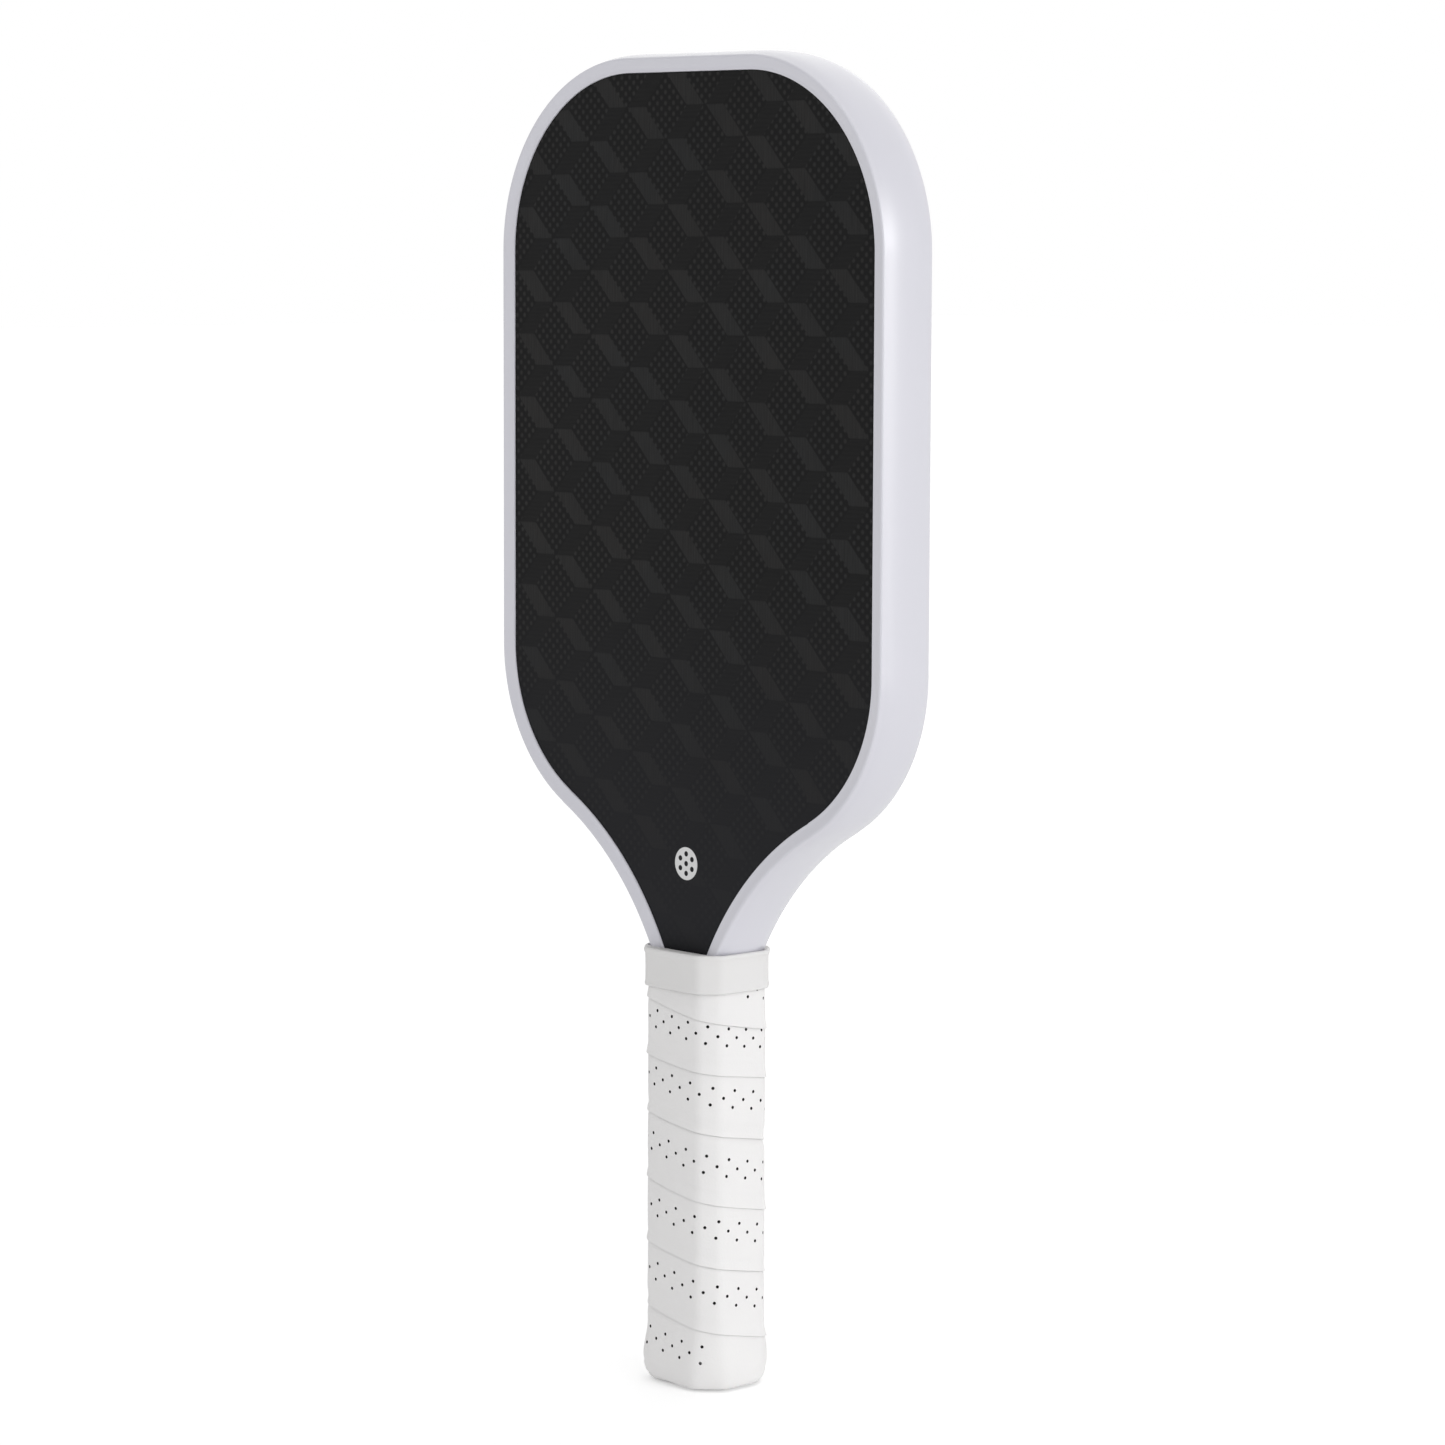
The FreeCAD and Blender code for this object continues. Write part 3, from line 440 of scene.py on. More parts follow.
# The woven face. Ribbons of long floats zigzag down the face in columns, and the lozenges
# between them are plain weave, where each crossing shows as a raised dot. WEAVE_COLUMN and
# WEAVE_PERIOD are the pattern's width and height, and the shares and counts are of these.
WEAVE_COLUMN = 18.055
WEAVE_PERIOD = 20.243
WEAVE_TILT = -0.727
WEAVE_ORIGIN = (-10.497, 403.172)
ZIGZAG = 0.2565
RIBBON_HALF = 0.215
RIBBON_SHARPNESS = 30.0
JOINT_SHARPNESS = 22.0
JOINT_DARKNESS = 0.4
DOT_ROWS = 12.0
DOT_COLUMNS = 4.875
DOT_RADIUS = 0.56
DOT_SHARPNESS = 2.8
DOT_FLATNESS = 0.95
FLOAT_LINES = 15.0
# How fine the threads' noise is across and along them.
THREAD_SCALE, THREAD_STRETCH = 1100.0, 0.10
# How the floats and the dots shine: what is always there, and what the threads and the lines add.
WARP_SHINE, WARP_THREADS, WARP_LINES = 0.24, 0.50, 0.10
WEFT_SHINE, WEFT_THREADS, WEFT_LINES = -0.02, 0.24, 0.06
DOT_SHINE, DOT_THREADS, GAP_SHINE = 0.42, 0.4, 0.03
# Colours between the threads, at the throat and on the face, and of the threads.
THROAT_BLACK, FACE_BLACK = (0.0152, 0.0154, 0.0182, 1.0), (0.0076, 0.0076, 0.0079, 1.0)
THREAD_COOL, THREAD_WARM = (0.0286, 0.0290, 0.0295, 1.0), (0.0304, 0.0292, 0.0287, 1.0)
# The weave fades out towards the throat, where more resin covers it.
FADE_TOP, FADE_BOTTOM = 260.0, 150.0
FADE_LEFT = 0.22
# The front's printed mark: a plain ball with holes.
MARK_HEIGHT = 167.0
MARK_RADIUS = 5.2
MARK_HOLE = 0.85
MARK_RING = 3.1
MARK_HOLES = 6
MARK_SHARPNESS = 8.0
MARK_WHITE = 0.72


def woven_carbon(name, side):
    """SIDE is 1 on the front and -1 on the rear, which has the same cloth seen the other way round."""
    finish = Finish(name, 0.5, Specular_IOR_Level=0.10)
    split = finish.tree.nodes.new("ShaderNodeSeparateXYZ")
    finish.feed(split.inputs[0], finish.place)
    calc = finish.math
    tilt = math.radians(WEAVE_TILT)
    across = calc("MULTIPLY_ADD", split.outputs[0], side / MM, -WEAVE_ORIGIN[0])
    height = calc("MULTIPLY_ADD", split.outputs[2], 1 / MM, -WEAVE_ORIGIN[1])

    def opposite(share):
        return calc("SUBTRACT", 1.0, share)

    def turned(from_across, from_height, size):
        first = calc("MULTIPLY", across, from_across / size)
        return calc("MULTIPLY_ADD", height, from_height / size, first)

    def waves(value, lines):
        return calc("MULTIPLY_ADD", calc("SINE", calc("MULTIPLY", value, lines * 2 * math.pi)), 0.5, 0.5)

    def chosen(share, there, elsewhere):
        return calc("ADD", calc("MULTIPLY", share, there), calc("MULTIPLY", opposite(share), elsewhere))

    column = turned(math.cos(tilt), -math.sin(tilt), WEAVE_COLUMN)
    fall = turned(-math.sin(tilt), -math.cos(tilt), WEAVE_PERIOD)
    # Odd columns are half a period lower than even ones.
    odd = calc("MULTIPLY", calc("FRACT", calc("MULTIPLY", calc("FLOOR", column), 0.5)), 2.0)
    phase = calc("FRACT", calc("MULTIPLY_ADD", odd, 0.5, fall))
    zigzag = calc("MULTIPLY_ADD", calc("ABSOLUTE", calc("SUBTRACT", phase, 0.5)), 4.0, -1.0)
    centre = calc("MULTIPLY_ADD", zigzag, ZIGZAG, 0.5)
    aside = calc("ABSOLUTE", calc("SUBTRACT", calc("FRACT", column), centre))
    # 1 inside a ribbon and 0 in a lozenge, with a soft edge.
    ribbon = calc("MULTIPLY_ADD", calc("SUBTRACT", RIBBON_HALF, aside), RIBBON_SHARPNESS, 0.5, clamp=True)
    # 1 on the warp-faced half of a ribbon, which catches the light.
    warp = calc("GREATER_THAN", phase, 0.5)
    # A darker line where the two halves of a ribbon meet.
    joint = calc("ABSOLUTE", calc("SUBTRACT", calc("FRACT", calc("MULTIPLY", phase, 2.0)), 0.5))
    joint = calc("MULTIPLY_ADD", joint, JOINT_SHARPNESS, 1 - JOINT_SHARPNESS / 2, clamp=True)
    # Round dots in staggered rows.
    row = calc("MULTIPLY", fall, DOT_ROWS)
    stagger = calc("FRACT", calc("MULTIPLY", calc("FLOOR", row), 0.5))
    dot_x = calc("SUBTRACT", calc("FRACT", calc("MULTIPLY_ADD", column, DOT_COLUMNS, stagger)), 0.5)
    dot_x = calc("MULTIPLY", dot_x, WEAVE_COLUMN / DOT_COLUMNS * DOT_ROWS / WEAVE_PERIOD)
    dot_z = calc("SUBTRACT", calc("FRACT", row), 0.5)
    far = calc("SQRT", calc("ADD", calc("MULTIPLY", dot_x, dot_x),
                            calc("MULTIPLY", calc("MULTIPLY", dot_z, dot_z), DOT_FLATNESS)))
    dot = calc("MULTIPLY", calc("SUBTRACT", DOT_RADIUS, far), DOT_SHARPNESS, clamp=True)
    tow = finish.noise(520.0, 3.0, 0.6)
    dots = calc("MULTIPLY_ADD", dot, calc("MULTIPLY_ADD", tow, DOT_THREADS, DOT_SHINE), GAP_SHINE)
    # Fine threads: upright on the warp floats and level on the weft floats.
    upright = finish.noise(THREAD_SCALE, 2.0, 0.6, finish.stretched((1.0, 1.0, THREAD_STRETCH)))
    level = finish.noise(THREAD_SCALE, 2.0, 0.6, finish.stretched((THREAD_STRETCH, 1.0, 1.0)))
    warp_shine = calc("MULTIPLY_ADD", waves(column, FLOAT_LINES), WARP_LINES,
                      calc("MULTIPLY_ADD", upright, WARP_THREADS, WARP_SHINE))
    weft_shine = calc("MULTIPLY_ADD", waves(fall, FLOAT_LINES), WEFT_LINES,
                      calc("MULTIPLY_ADD", level, WEFT_THREADS, WEFT_SHINE))
    floats = calc("MULTIPLY", chosen(warp, warp_shine, weft_shine),
                  calc("MULTIPLY_ADD", joint, -JOINT_DARKNESS, 1.0))
    shine = chosen(ribbon, floats, dots)
    drop = 1.0 / (FADE_TOP - FADE_BOTTOM)
    clear = calc("MULTIPLY_ADD", split.outputs[2], drop / MM, -FADE_BOTTOM * drop, clamp=True)
    shine = calc("MULTIPLY", shine, finish.between(clear, FADE_LEFT, 1.0))
    patchy = calc("MULTIPLY_ADD", finish.noise(36.0, 3.0), 0.5, 0.75)
    shine = calc("MULTIPLY", shine, patchy, clamp=True)
    low = finish.mix(clear, THROAT_BLACK, FACE_BLACK)
    tint = calc("MULTIPLY_ADD", finish.noise(44.0, 2.0), 5.0, -2.0, clamp=True)
    colour = finish.mix(shine, low, finish.mix(tint, THREAD_COOL, THREAD_WARM))
    if side > 0:
        colour = finish.mix(ball_mark(split, calc), colour, grey(MARK_WHITE))
    finish.set("Base Color", colour)
    finish.set("Roughness", finish.between(opposite(shine), 0.42, 0.55))
    finish.bump(calc("MULTIPLY_ADD", finish.noise(3000.0, 2.0), 0.35, shine), 0.03)
    return finish.material


def ball_mark(split, calc):
    """1 on the printed ball and 0 off it and in its holes: one in the middle and a ring of six."""
    across = calc("DIVIDE", split.outputs[0], MM)
    height = calc("MULTIPLY_ADD", split.outputs[2], 1 / MM, -MARK_HEIGHT)

    def length(x, z):
        return calc("SQRT", calc("ADD", calc("MULTIPLY", x, x), calc("MULTIPLY", z, z)))

    def outside(radius, distance):
        return calc("MULTIPLY_ADD", calc("SUBTRACT", distance, radius), MARK_SHARPNESS, 0.5, clamp=True)

    out = length(across, height)
    sector = 2 * math.pi / MARK_HOLES
    angle = calc("ADD", calc("ARCTAN2", height, across), 2 * math.pi)
    turn = calc("SUBTRACT", calc("MODULO", angle, sector), sector / 2)
    along = calc("SUBTRACT", calc("MULTIPLY", out, calc("COSINE", turn)), MARK_RING)
    beside = calc("MULTIPLY", out, calc("SINE", turn))
    holes = calc("MULTIPLY", outside(MARK_HOLE, length(along, beside)), outside(MARK_HOLE, out))
    disc = calc("SUBTRACT", 1.0, outside(MARK_RADIUS, out))
    return calc("MULTIPLY", disc, holes)


def steel():
    finish = Finish("staple_galvanised_steel", 0.35, metallic=1.0)
    finish.set("Base Color", finish.mix(finish.noise(900.0, 3.0), grey(0.50, 1.04), grey(0.66, 1.03)))
    finish.set("Roughness", finish.between(finish.noise(1400.0, 3.0), 0.25, 0.45))
    finish.bump(finish.noise(2400.0, 2.0), 0.01)
    return finish.material


def foam(name, low, high, cell_scale, depth):
    """Closed-cell foam: pale cell walls round small pits, which are darker with painted shade."""
    finish = Finish(name, 0.85)
    pits = finish.cells(cell_scale)
    # Painted shade: the colour darkens towards each pit's middle.
    finish.set("Base Color", finish.mix(pits, low, high))
    finish.set("Roughness", finish.between(finish.noise(cell_scale, 2.0), 0.75, 0.95))
    finish.bump(pits, depth)
    return finish.material


def all_materials():
    return {
        "guard_white": guard_white(),
        "woven_carbon": woven_carbon("front_woven_carbon", 1),
        "grip_white": grip_white(),
        "collar_rubber": collar_rubber(),
        "staple_steel": steel(),
        "clear_adhesive": mottled("clear_adhesive", grey(0.60, 0.9), grey(0.72, 0.92), 150.0, (0.18, 0.35),
                                  700.0, 0.03, Transmission_Weight=0.4),
        "glass_ply": mottled("glass_ply", (0.50, 0.56, 0.47, 1.0), (0.60, 0.65, 0.56, 1.0), 300.0,
                             (0.35, 0.5), 1300.0, 0.05),
        "film_adhesive": mottled("film_adhesive", (0.55, 0.36, 0.13, 1.0), (0.66, 0.46, 0.20, 1.0), 120.0,
                                 (0.3, 0.5), 800.0, 0.03),
        "honeycomb_polymer": mottled("honeycomb_polymer", (0.62, 0.66, 0.70, 1.0), (0.74, 0.77, 0.80, 1.0),
                                     90.0, (0.35, 0.5), 1500.0, 0.02),
        "edge_foam": foam("edge_foam", grey(0.62, 0.97), grey(0.85, 0.98), 1200.0, 0.10),
        "dense_foam": foam("dense_foam", (0.55, 0.50, 0.40, 1.0), (0.76, 0.71, 0.60, 1.0), 1600.0, 0.06),
        "pallet_foam": foam("pallet_foam", (0.52, 0.42, 0.27, 1.0), (0.70, 0.60, 0.42, 1.0), 1400.0, 0.08),
        "cap_plastic": mottled("cap_plastic", grey(0.70, 0.99), grey(0.76, 1.0), 60.0, (0.4, 0.55),
                               2200.0, 0.015),
        # Near-black backing tape, darkened further as painted shade: the grip strip's hole walls and lower
        # edge walls take it too.
        "backing_tape": mottled("backing_tape", grey(0.010), grey(0.020), 200.0, (0.6, 0.85), 1500.0, 0.05),
        "finishing_tape": mottled("finishing_tape", grey(0.66), grey(0.72), 200.0, (0.3, 0.45),
                                  1500.0, 0.02),
    }


def dress_nodes(materials):
    """Each CAD node takes the finish of the record's slot that it belongs to."""
    slots = {entry["node"]: entry["material_slot"] for entry in frame["record"]["subparts"]}
    rear = woven_carbon("rear_woven_carbon", -1)
    for name, node in frame["nodes"].items():
        finish = rear if name == "rear_weave_skin" else materials[slots[name]]
        node.data.materials.clear()
        node.data.materials.append(finish)


# ---------------------------------------------------------------- the handle's section

ARC_STEPS = 6
FACET_STEP = 0.66
ACROSS, DEEP, OUT_X, OUT_Y, CROWN = range(1, 6)


def octagon(half_x, half_y, leg, radius, crowns):
    """A rounded octagon, walked from the middle of its -Y side towards +X.

    Each row of the result is a point: the share of the walk done, its place, the way out, and
    how far its facet is crowned there.
    """
    bite = radius * math.tan(math.pi / 8)
    wide = half_x - leg - bite
    narrow = 2 * (half_y - leg - bite)
    slope = leg * math.sqrt(2) - 2 * bite
    # Each facet's length, where its middle is, half of its full length, and its crown.
    facets = [(wide, 0.0, wide, 0), (slope, slope / 2, slope / 2, 2), (narrow, narrow / 2, narrow / 2, 1),
              (slope, slope / 2, slope / 2, 2), (2 * wide, wide, wide, 0), (slope, slope / 2, slope / 2, 2),
              (narrow, narrow / 2, narrow / 2, 1), (slope, slope / 2, slope / 2, 2), (wide, wide, wide, 0)]

    def crown_at(facet, where):
        off_middle = (where - facet[1]) / (facet[2] + bite)
        return crowns[facet[3]] * (1 - off_middle ** 2)

    rows = [(0.0, 0.0, -half_y, 0.0, -1.0, crowns[0])]

    def walk(length, chord, heading, turn, crown):
        walked, x, y = rows[-1][:3]
        rows.append((walked + length, x + chord * math.cos(heading + turn / 2),
                     y + chord * math.sin(heading + turn / 2), math.sin(heading + turn),
                     -math.cos(heading + turn), crown))

    for number, facet in enumerate(facets):
        heading = number * math.pi / 4
        steps = max(2, round(facet[0] / FACET_STEP))
        for step in range(1, steps + 1):
            walk(facet[0] / steps, facet[0] / steps, heading, 0.0, crown_at(facet, facet[0] * step / steps))
        if number == len(facets) - 1:
            break
        here, there = rows[-1][CROWN], crown_at(facets[number + 1], 0.0)
        bend = math.pi / 4 / ARC_STEPS
        for step in range(1, ARC_STEPS + 1):
            walk(radius * bend, 2 * radius * math.sin(bend / 2), heading + (step - 1) * bend, bend,
                 here + (there - here) * step / ARC_STEPS)
    section = np.array(rows)
    length = section[-1, 0]
    section[:, 0] /= length
    return section, length


def around_section(section, share, column):
    return np.interp(np.mod(share, 1.0), section[:, 0], section[:, column])


def smooth(share):
    share = np.clip(share, 0.0, 1.0)
    return share * share * (3 - 2 * share)


GRIP_SECTION, TURN = octagon(HALF_WIDTH, HALF_DEPTH, FACET_LEG, FACET_RADIUS, CROWNS)
CAP_SECTION, _ = octagon(HALF_WIDTH, HALF_DEPTH, CAP_LEG, FACET_RADIUS, CAP_CROWNS)


def on_handle(walked, height, lift):
    """Points that stand LIFT off the bare handle, WALKED round it at HEIGHT.

    Below the cap's round edge, height is measured along that edge.
    """
    share = walked / TURN
    beside = np.abs(np.mod(walked - LEG_MIDDLE + TURN / 2, TURN) - TURN / 2)
    broad = 1 - smooth((beside - LEG_NEAR) / (LEG_FAR - LEG_NEAR))
    capped = (1 - smooth((height - LEG_LOW) / (LEG_HIGH - LEG_LOW))) * broad
    x, y, out_x, out_y, crown = (
        around_section(GRIP_SECTION, share, column) * (1 - capped)
        + around_section(CAP_SECTION, share, column) * capped
        for column in (ACROSS, DEEP, OUT_X, OUT_Y, CROWN))
    length = np.hypot(out_x, out_y)
    padded = (smooth((height - PADDING_LOW) / PADDING_LOW_RAMP)
              * smooth((PADDING_HIGH - height) / PADDING_HIGH_RAMP))
    flare = (CAP_LIFT - LEG_DROP * broad) * (1 - smooth((height - FLARE_LOW) / (FLARE_HIGH - FLARE_LOW)))
    bend = np.clip((CAP_ROUND - height) / CAP_ROUND, 0.0, math.pi / 2)
    inwards = (CAP_ROUND + lift) * (1 - np.cos(bend))
    out = (lift - GRIP_THICKNESS + crown * padded + flare - inwards) / length
    z = np.where(height < CAP_ROUND, CAP_ROUND - (CAP_ROUND + lift) * np.sin(bend), height)
    return np.stack([x + out_x * out, y + out_y * out, z], axis=-1)


# ---------------------------------------------------------------- meshes

def add_piece(name, points, faces, materials, sharp_angle, face_materials=None):
    """A smooth-shaded mesh from points in millimetres, riding on the paddle's one body."""
    mesh = bpy.data.meshes.new(name)
    mesh.from_pydata((np.asarray(points) * MM).tolist(), [], faces)
    for material in materials:
        mesh.materials.append(material)
    if face_materials is not None:
        mesh.polygons.foreach_set("material_index", face_materials)
    mesh.validate()
    mesh.shade_smooth()
    mesh.set_sharp_from_angle(angle=math.radians(sharp_angle))
    piece = bpy.data.objects.new(name, mesh)
    bpy.context.scene.collection.objects.link(piece)
    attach(piece, "root")
    return piece


def loft(rings, joined):
    """Points and faces of a skin over closed rings: JOINED round, or closed by a fan at each end."""
    rings = np.asarray(rings)
    count, size = rings.shape[:2]
    points = rings.reshape(-1, 3)
    faces = []
    for first in range(count if joined else count - 1):
        second = (first + 1) % count
        for place in range(size):
            after = (place + 1) % size
            faces.append((first * size + place, first * size + after, second * size + after,
                          second * size + place))
    if not joined:
        points = np.concatenate([points, [rings[0].mean(axis=0)], [rings[-1].mean(axis=0)]])
        last = (count - 1) * size
        for place in range(size):
            after = (place + 1) % size
            faces.append((after, place, count * size))
            faces.append((last + place, last + after, count * size + 1))
    return points, faces


# ---------------------------------------------------------------- the edge guard

def guard_path():
    """The guard's outline from one side of the neck to the other: places and outward directions."""
    half = []

    def line(start, end, out):
        steps = max(2, round(math.dist(start, end) / PATH_STEP))
        for step in range(steps):
            share = step / steps
            half.append((start[0] + (end[0] - start[0]) * share,
                         start[1] + (end[1] - start[1]) * share, *out))

    def arc(centre, radius, begin, end, facing):
        steps = max(4, round(abs(end - begin) * radius / PATH_STEP))
        for step in range(steps):
            angle = begin + (end - begin) * step / steps
            half.append((centre[0] + radius * math.cos(angle), centre[1] + radius * math.sin(angle),
                         facing * math.cos(angle), facing * math.sin(angle)))

    corner = (HEAD_HALF_WIDTH - CORNER_RADIUS, HEAD_TOP - CORNER_RADIUS)
    shoulder = (HEAD_HALF_WIDTH - SHOULDER_RADIUS, SHOULDER_HEIGHT)
    line((0.0, HEAD_TOP), (corner[0], HEAD_TOP), (0.0, 1.0))
    arc(corner, CORNER_RADIUS, math.pi / 2, 0.0, 1)
    line((HEAD_HALF_WIDTH, corner[1]), (HEAD_HALF_WIDTH, SHOULDER_HEIGHT), (1.0, 0.0))
    meet = math.atan2(NECK_CENTRE[1] - shoulder[1], NECK_CENTRE[0] - shoulder[0])
    arc(shoulder, SHOULDER_RADIUS, 0.0, meet, 1)
    low = math.pi - math.asin((GUARD_BOTTOM - NECK_CENTRE[1]) / NECK_RADIUS)
    arc(NECK_CENTRE, NECK_RADIUS, meet + math.pi, low, -1)
    half.append((NECK_CENTRE[0] + NECK_RADIUS * math.cos(low), GUARD_BOTTOM,
                 -math.cos(low), -math.sin(low)))
    right = np.array(half)
    left = right[:0:-1] * (-1, 1, -1, 1)
    return np.concatenate([left, right])


def guard_section():
    """The guard's U section: how far in from the outline, and the depth along Y."""
    edge = GUARD_HALF_DEPTH - GUARD_CORNER
    crown = GUARD_CROWN - GUARD_PROUD
    front = [(GUARD_CROWN * (depth / edge) ** 3 - GUARD_PROUD, depth)
             for depth in np.linspace(0.0, edge, WALL_STEPS)]
    for step in range(1, CORNER_STEPS + 1):
        angle = math.pi / 2 * step / CORNER_STEPS
        front.append((crown + GUARD_CORNER * (1 - math.cos(angle)), edge + GUARD_CORNER * math.sin(angle)))
    rim = crown + GUARD_CORNER
    bead = GUARD_LIP - BEAD_WIDTH
    raised = FACE_DEPTH + LIP_EDGE
    for step in range(1, LIP_STEPS + 1):
        share = step / LIP_STEPS
        front.append((rim + (bead - rim) * share,
                      GUARD_HALF_DEPTH + (raised - GUARD_HALF_DEPTH) * share ** LIP_HOLLOW))
    front += [(GUARD_LIP - back, raised + rise) for back, rise in BEAD_CORNERS]
    front += [(GUARD_LIP, FACE_DEPTH + BEAD_FOOT), (GUARD_LIP, FACE_DEPTH), (GUARD_WALL, FACE_DEPTH)]
    rear = [(inset, -depth) for inset, depth in reversed(front[1:])]
    return front + rear


def build_guard(material):
    path = guard_path()
    section = np.array(guard_section())
    rings = [np.stack([x - out_x * section[:, 0], section[:, 1], z - out_z * section[:, 0]], axis=-1)
             for x, z, out_x, out_z in path]
    points, faces = loft(rings, False)
    piece = add_piece("edge_guard_moulding", points, faces, [material], 55.0)
    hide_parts("edge_guard")


# ---------------------------------------------------------------- the collar and the butt cap

def build_collar(material):
    low, high = COLLAR_LOW.z / MM, COLLAR_HIGH.z / MM
    section, _ = octagon(COLLAR_HIGH.x / MM, COLLAR_HIGH.y / MM, COLLAR_LEG, COLLAR_RADIUS, COLLAR_CROWNS)
    section = section[:-1]
    place, out = section[:, ACROSS:OUT_X], section[:, OUT_X:CROWN]

    def ring(offset, height):
        crown = section[:, CROWN:] if offset > COLLAR_BORE else 0.0
        flat = place + out * (offset + crown - COLLAR_CROWNS[0])
        return np.column_stack([flat, np.full(len(flat), height)])

    def slot_ring(height, grown=0.0):
        """The slot that the neck comes through: a rectangle with its corners cut."""
        half_x, half_y = SLOT_HALF_WIDTH + grown, SLOT_HALF_DEPTH + grown
        across = np.maximum(np.abs(place[:, 0]) / half_x, np.abs(place[:, 1]) / half_y)
        across = np.maximum(across, np.abs(place).sum(axis=1) / (half_x + half_y - SLOT_CUT))
        return np.column_stack([place / across[:, None], np.full(len(place), height)])

    rings = [ring(offset, low + height) for offset, height in BEADS]
    outer_top, slot_top = rings[-1], slot_ring(high - SLOT_EDGE_HIGH, SLOT_EDGE_GROWN)
    rings += [outer_top + (slot_top - outer_top) * share for share in FLANGE_SHARES]
    rings += [slot_top, slot_ring(high - SLOT_EDGE_LOW), slot_ring(high - FLANGE_THICKNESS)]
    rings += [ring(COLLAR_BORE, high - FLANGE_THICKNESS), ring(COLLAR_BORE, (low + high) / 2),
              ring(COLLAR_BORE, low)]
    points, faces = loft(rings, True)
    piece = add_piece("collar_sleeve", points, faces, [material], 50.0)
    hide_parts("grip_collar")


def build_cap(material):
    """The moulded cup under the strip, with its round bottom edge and flat bottom."""
    walked = np.linspace(0.0, TURN, CAP_POINTS + 1)[:-1]

    def ring(height, lift):
        return on_handle(walked, np.full(len(walked), height), np.full(len(walked), lift))

    outside = [ring(CAP_ROUND * (1 - math.pi / 2 * step / CAP_BEND_STEPS), -LAYER_GAP)
               for step in range(CAP_BEND_STEPS, 0, -1)]
    outside += [ring(height, -LAYER_GAP) for height in (CAP_ROUND, CAP_TOP / 2, CAP_TOP)]
    inside = [ring(height, -LAYER_GAP - CAP_WALL)
              for height in (CAP_TOP, CAP_TOP / 2, CAP_FLOOR + CAP_ROUND)]
    floor = inside[-1] * (CAP_FLOOR_SHARE, CAP_FLOOR_SHARE, 0.0) + (0.0, 0.0, CAP_FLOOR)
    bottom = [outside[0] * (share, share, 1.0) for share in CAP_BOTTOM_SHARES]
    rings = bottom + outside + inside + [floor]
    points, faces = loft(rings, False)
    piece = add_piece("butt_cap_moulding", points, faces, [material], 40.0)
    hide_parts("butt_cap")


# ---------------------------------------------------------------- the grip strip

def wrap_table():
    """The height of the strip's middle, and its slope, along the strip."""
    turns = np.arange(WRAP_FROM, WRAP_TO, WRAP_STEP)
    heights = np.interp(turns, WRAP_TURNS, WRAP_HEIGHTS)
    reach = int(WRAP_BLEND / WRAP_STEP)
    kernel = np.ones(2 * reach + 1) / (2 * reach + 1)
    for _ in range(2):
        heights = np.convolve(np.pad(heights, reach, mode="edge"), kernel, mode="valid")
    return turns * TURN, heights, np.gradient(heights, turns * TURN)


WOUND, MIDDLE, SLOPE = wrap_table()


def middle_of(wound):
    return np.interp(wound, WOUND, MIDDLE)


def tilt_of(wound):
    return np.arctan(np.interp(wound, WOUND, SLOPE))


def bare_lower_edge(wound):
    return middle_of(wound) - STRIP_WIDTH / 2 / np.cos(tilt_of(wound))


def lower_edge(wound):
    """The strip's lower edge, trimmed level at the butt."""
    return np.maximum(bare_lower_edge(wound), STRIP_BOTTOM)


def upper_edge(wound):
    """The strip's upper edge, never far under the next turn, and cut level under the collar."""
    full = middle_of(wound) + STRIP_WIDTH / 2 / np.cos(tilt_of(wound))
    slant = lower_edge(wound + TURN) + OVERLAP
    return np.minimum(np.minimum(full, slant), STRIP_TOP)


def thickness_at(from_lower, from_upper):
    """The strip's thickness: both edges are skived, the hidden upper one thinner."""
    lower = LOWER_EDGE_THICKNESS + (STRIP_FULL - LOWER_EDGE_THICKNESS) * smooth(from_lower / SKIVE_WIDTH)
    upper = UPPER_EDGE_THICKNESS + (STRIP_FULL - UPPER_EDGE_THICKNESS) * smooth(from_upper / SKIVE_WIDTH)
    return np.minimum(lower, upper)


def underneath(wound, height):
    """How high the turn below lifts the strip here."""
    below = wound - TURN
    top, bottom = upper_edge(below), lower_edge(below)
    lying = thickness_at(height - bottom, top - height) + LAYER_GAP
    bridging = (UPPER_EDGE_THICKNESS + LAYER_GAP) * np.clip(1 + (top - height) / BRIDGE, 0.0, 1.0)
    tip = smooth((below - STRIP_TIP) / TIP_LENGTH)
    return np.where(top > height, lying, bridging) * tip


def wobble(wound, height):
    """The slight unevenness of a hand-wound cushion, in millimetres."""
    flat = zip(np.ravel(wound), np.ravel(height))
    values = [noise.noise(Vector((w * WOBBLE_ALONG, h * WOBBLE_UP, WOBBLE_LAYER))) for w, h in flat]
    return np.reshape(values, np.shape(wound)) * WOBBLE_DEPTH


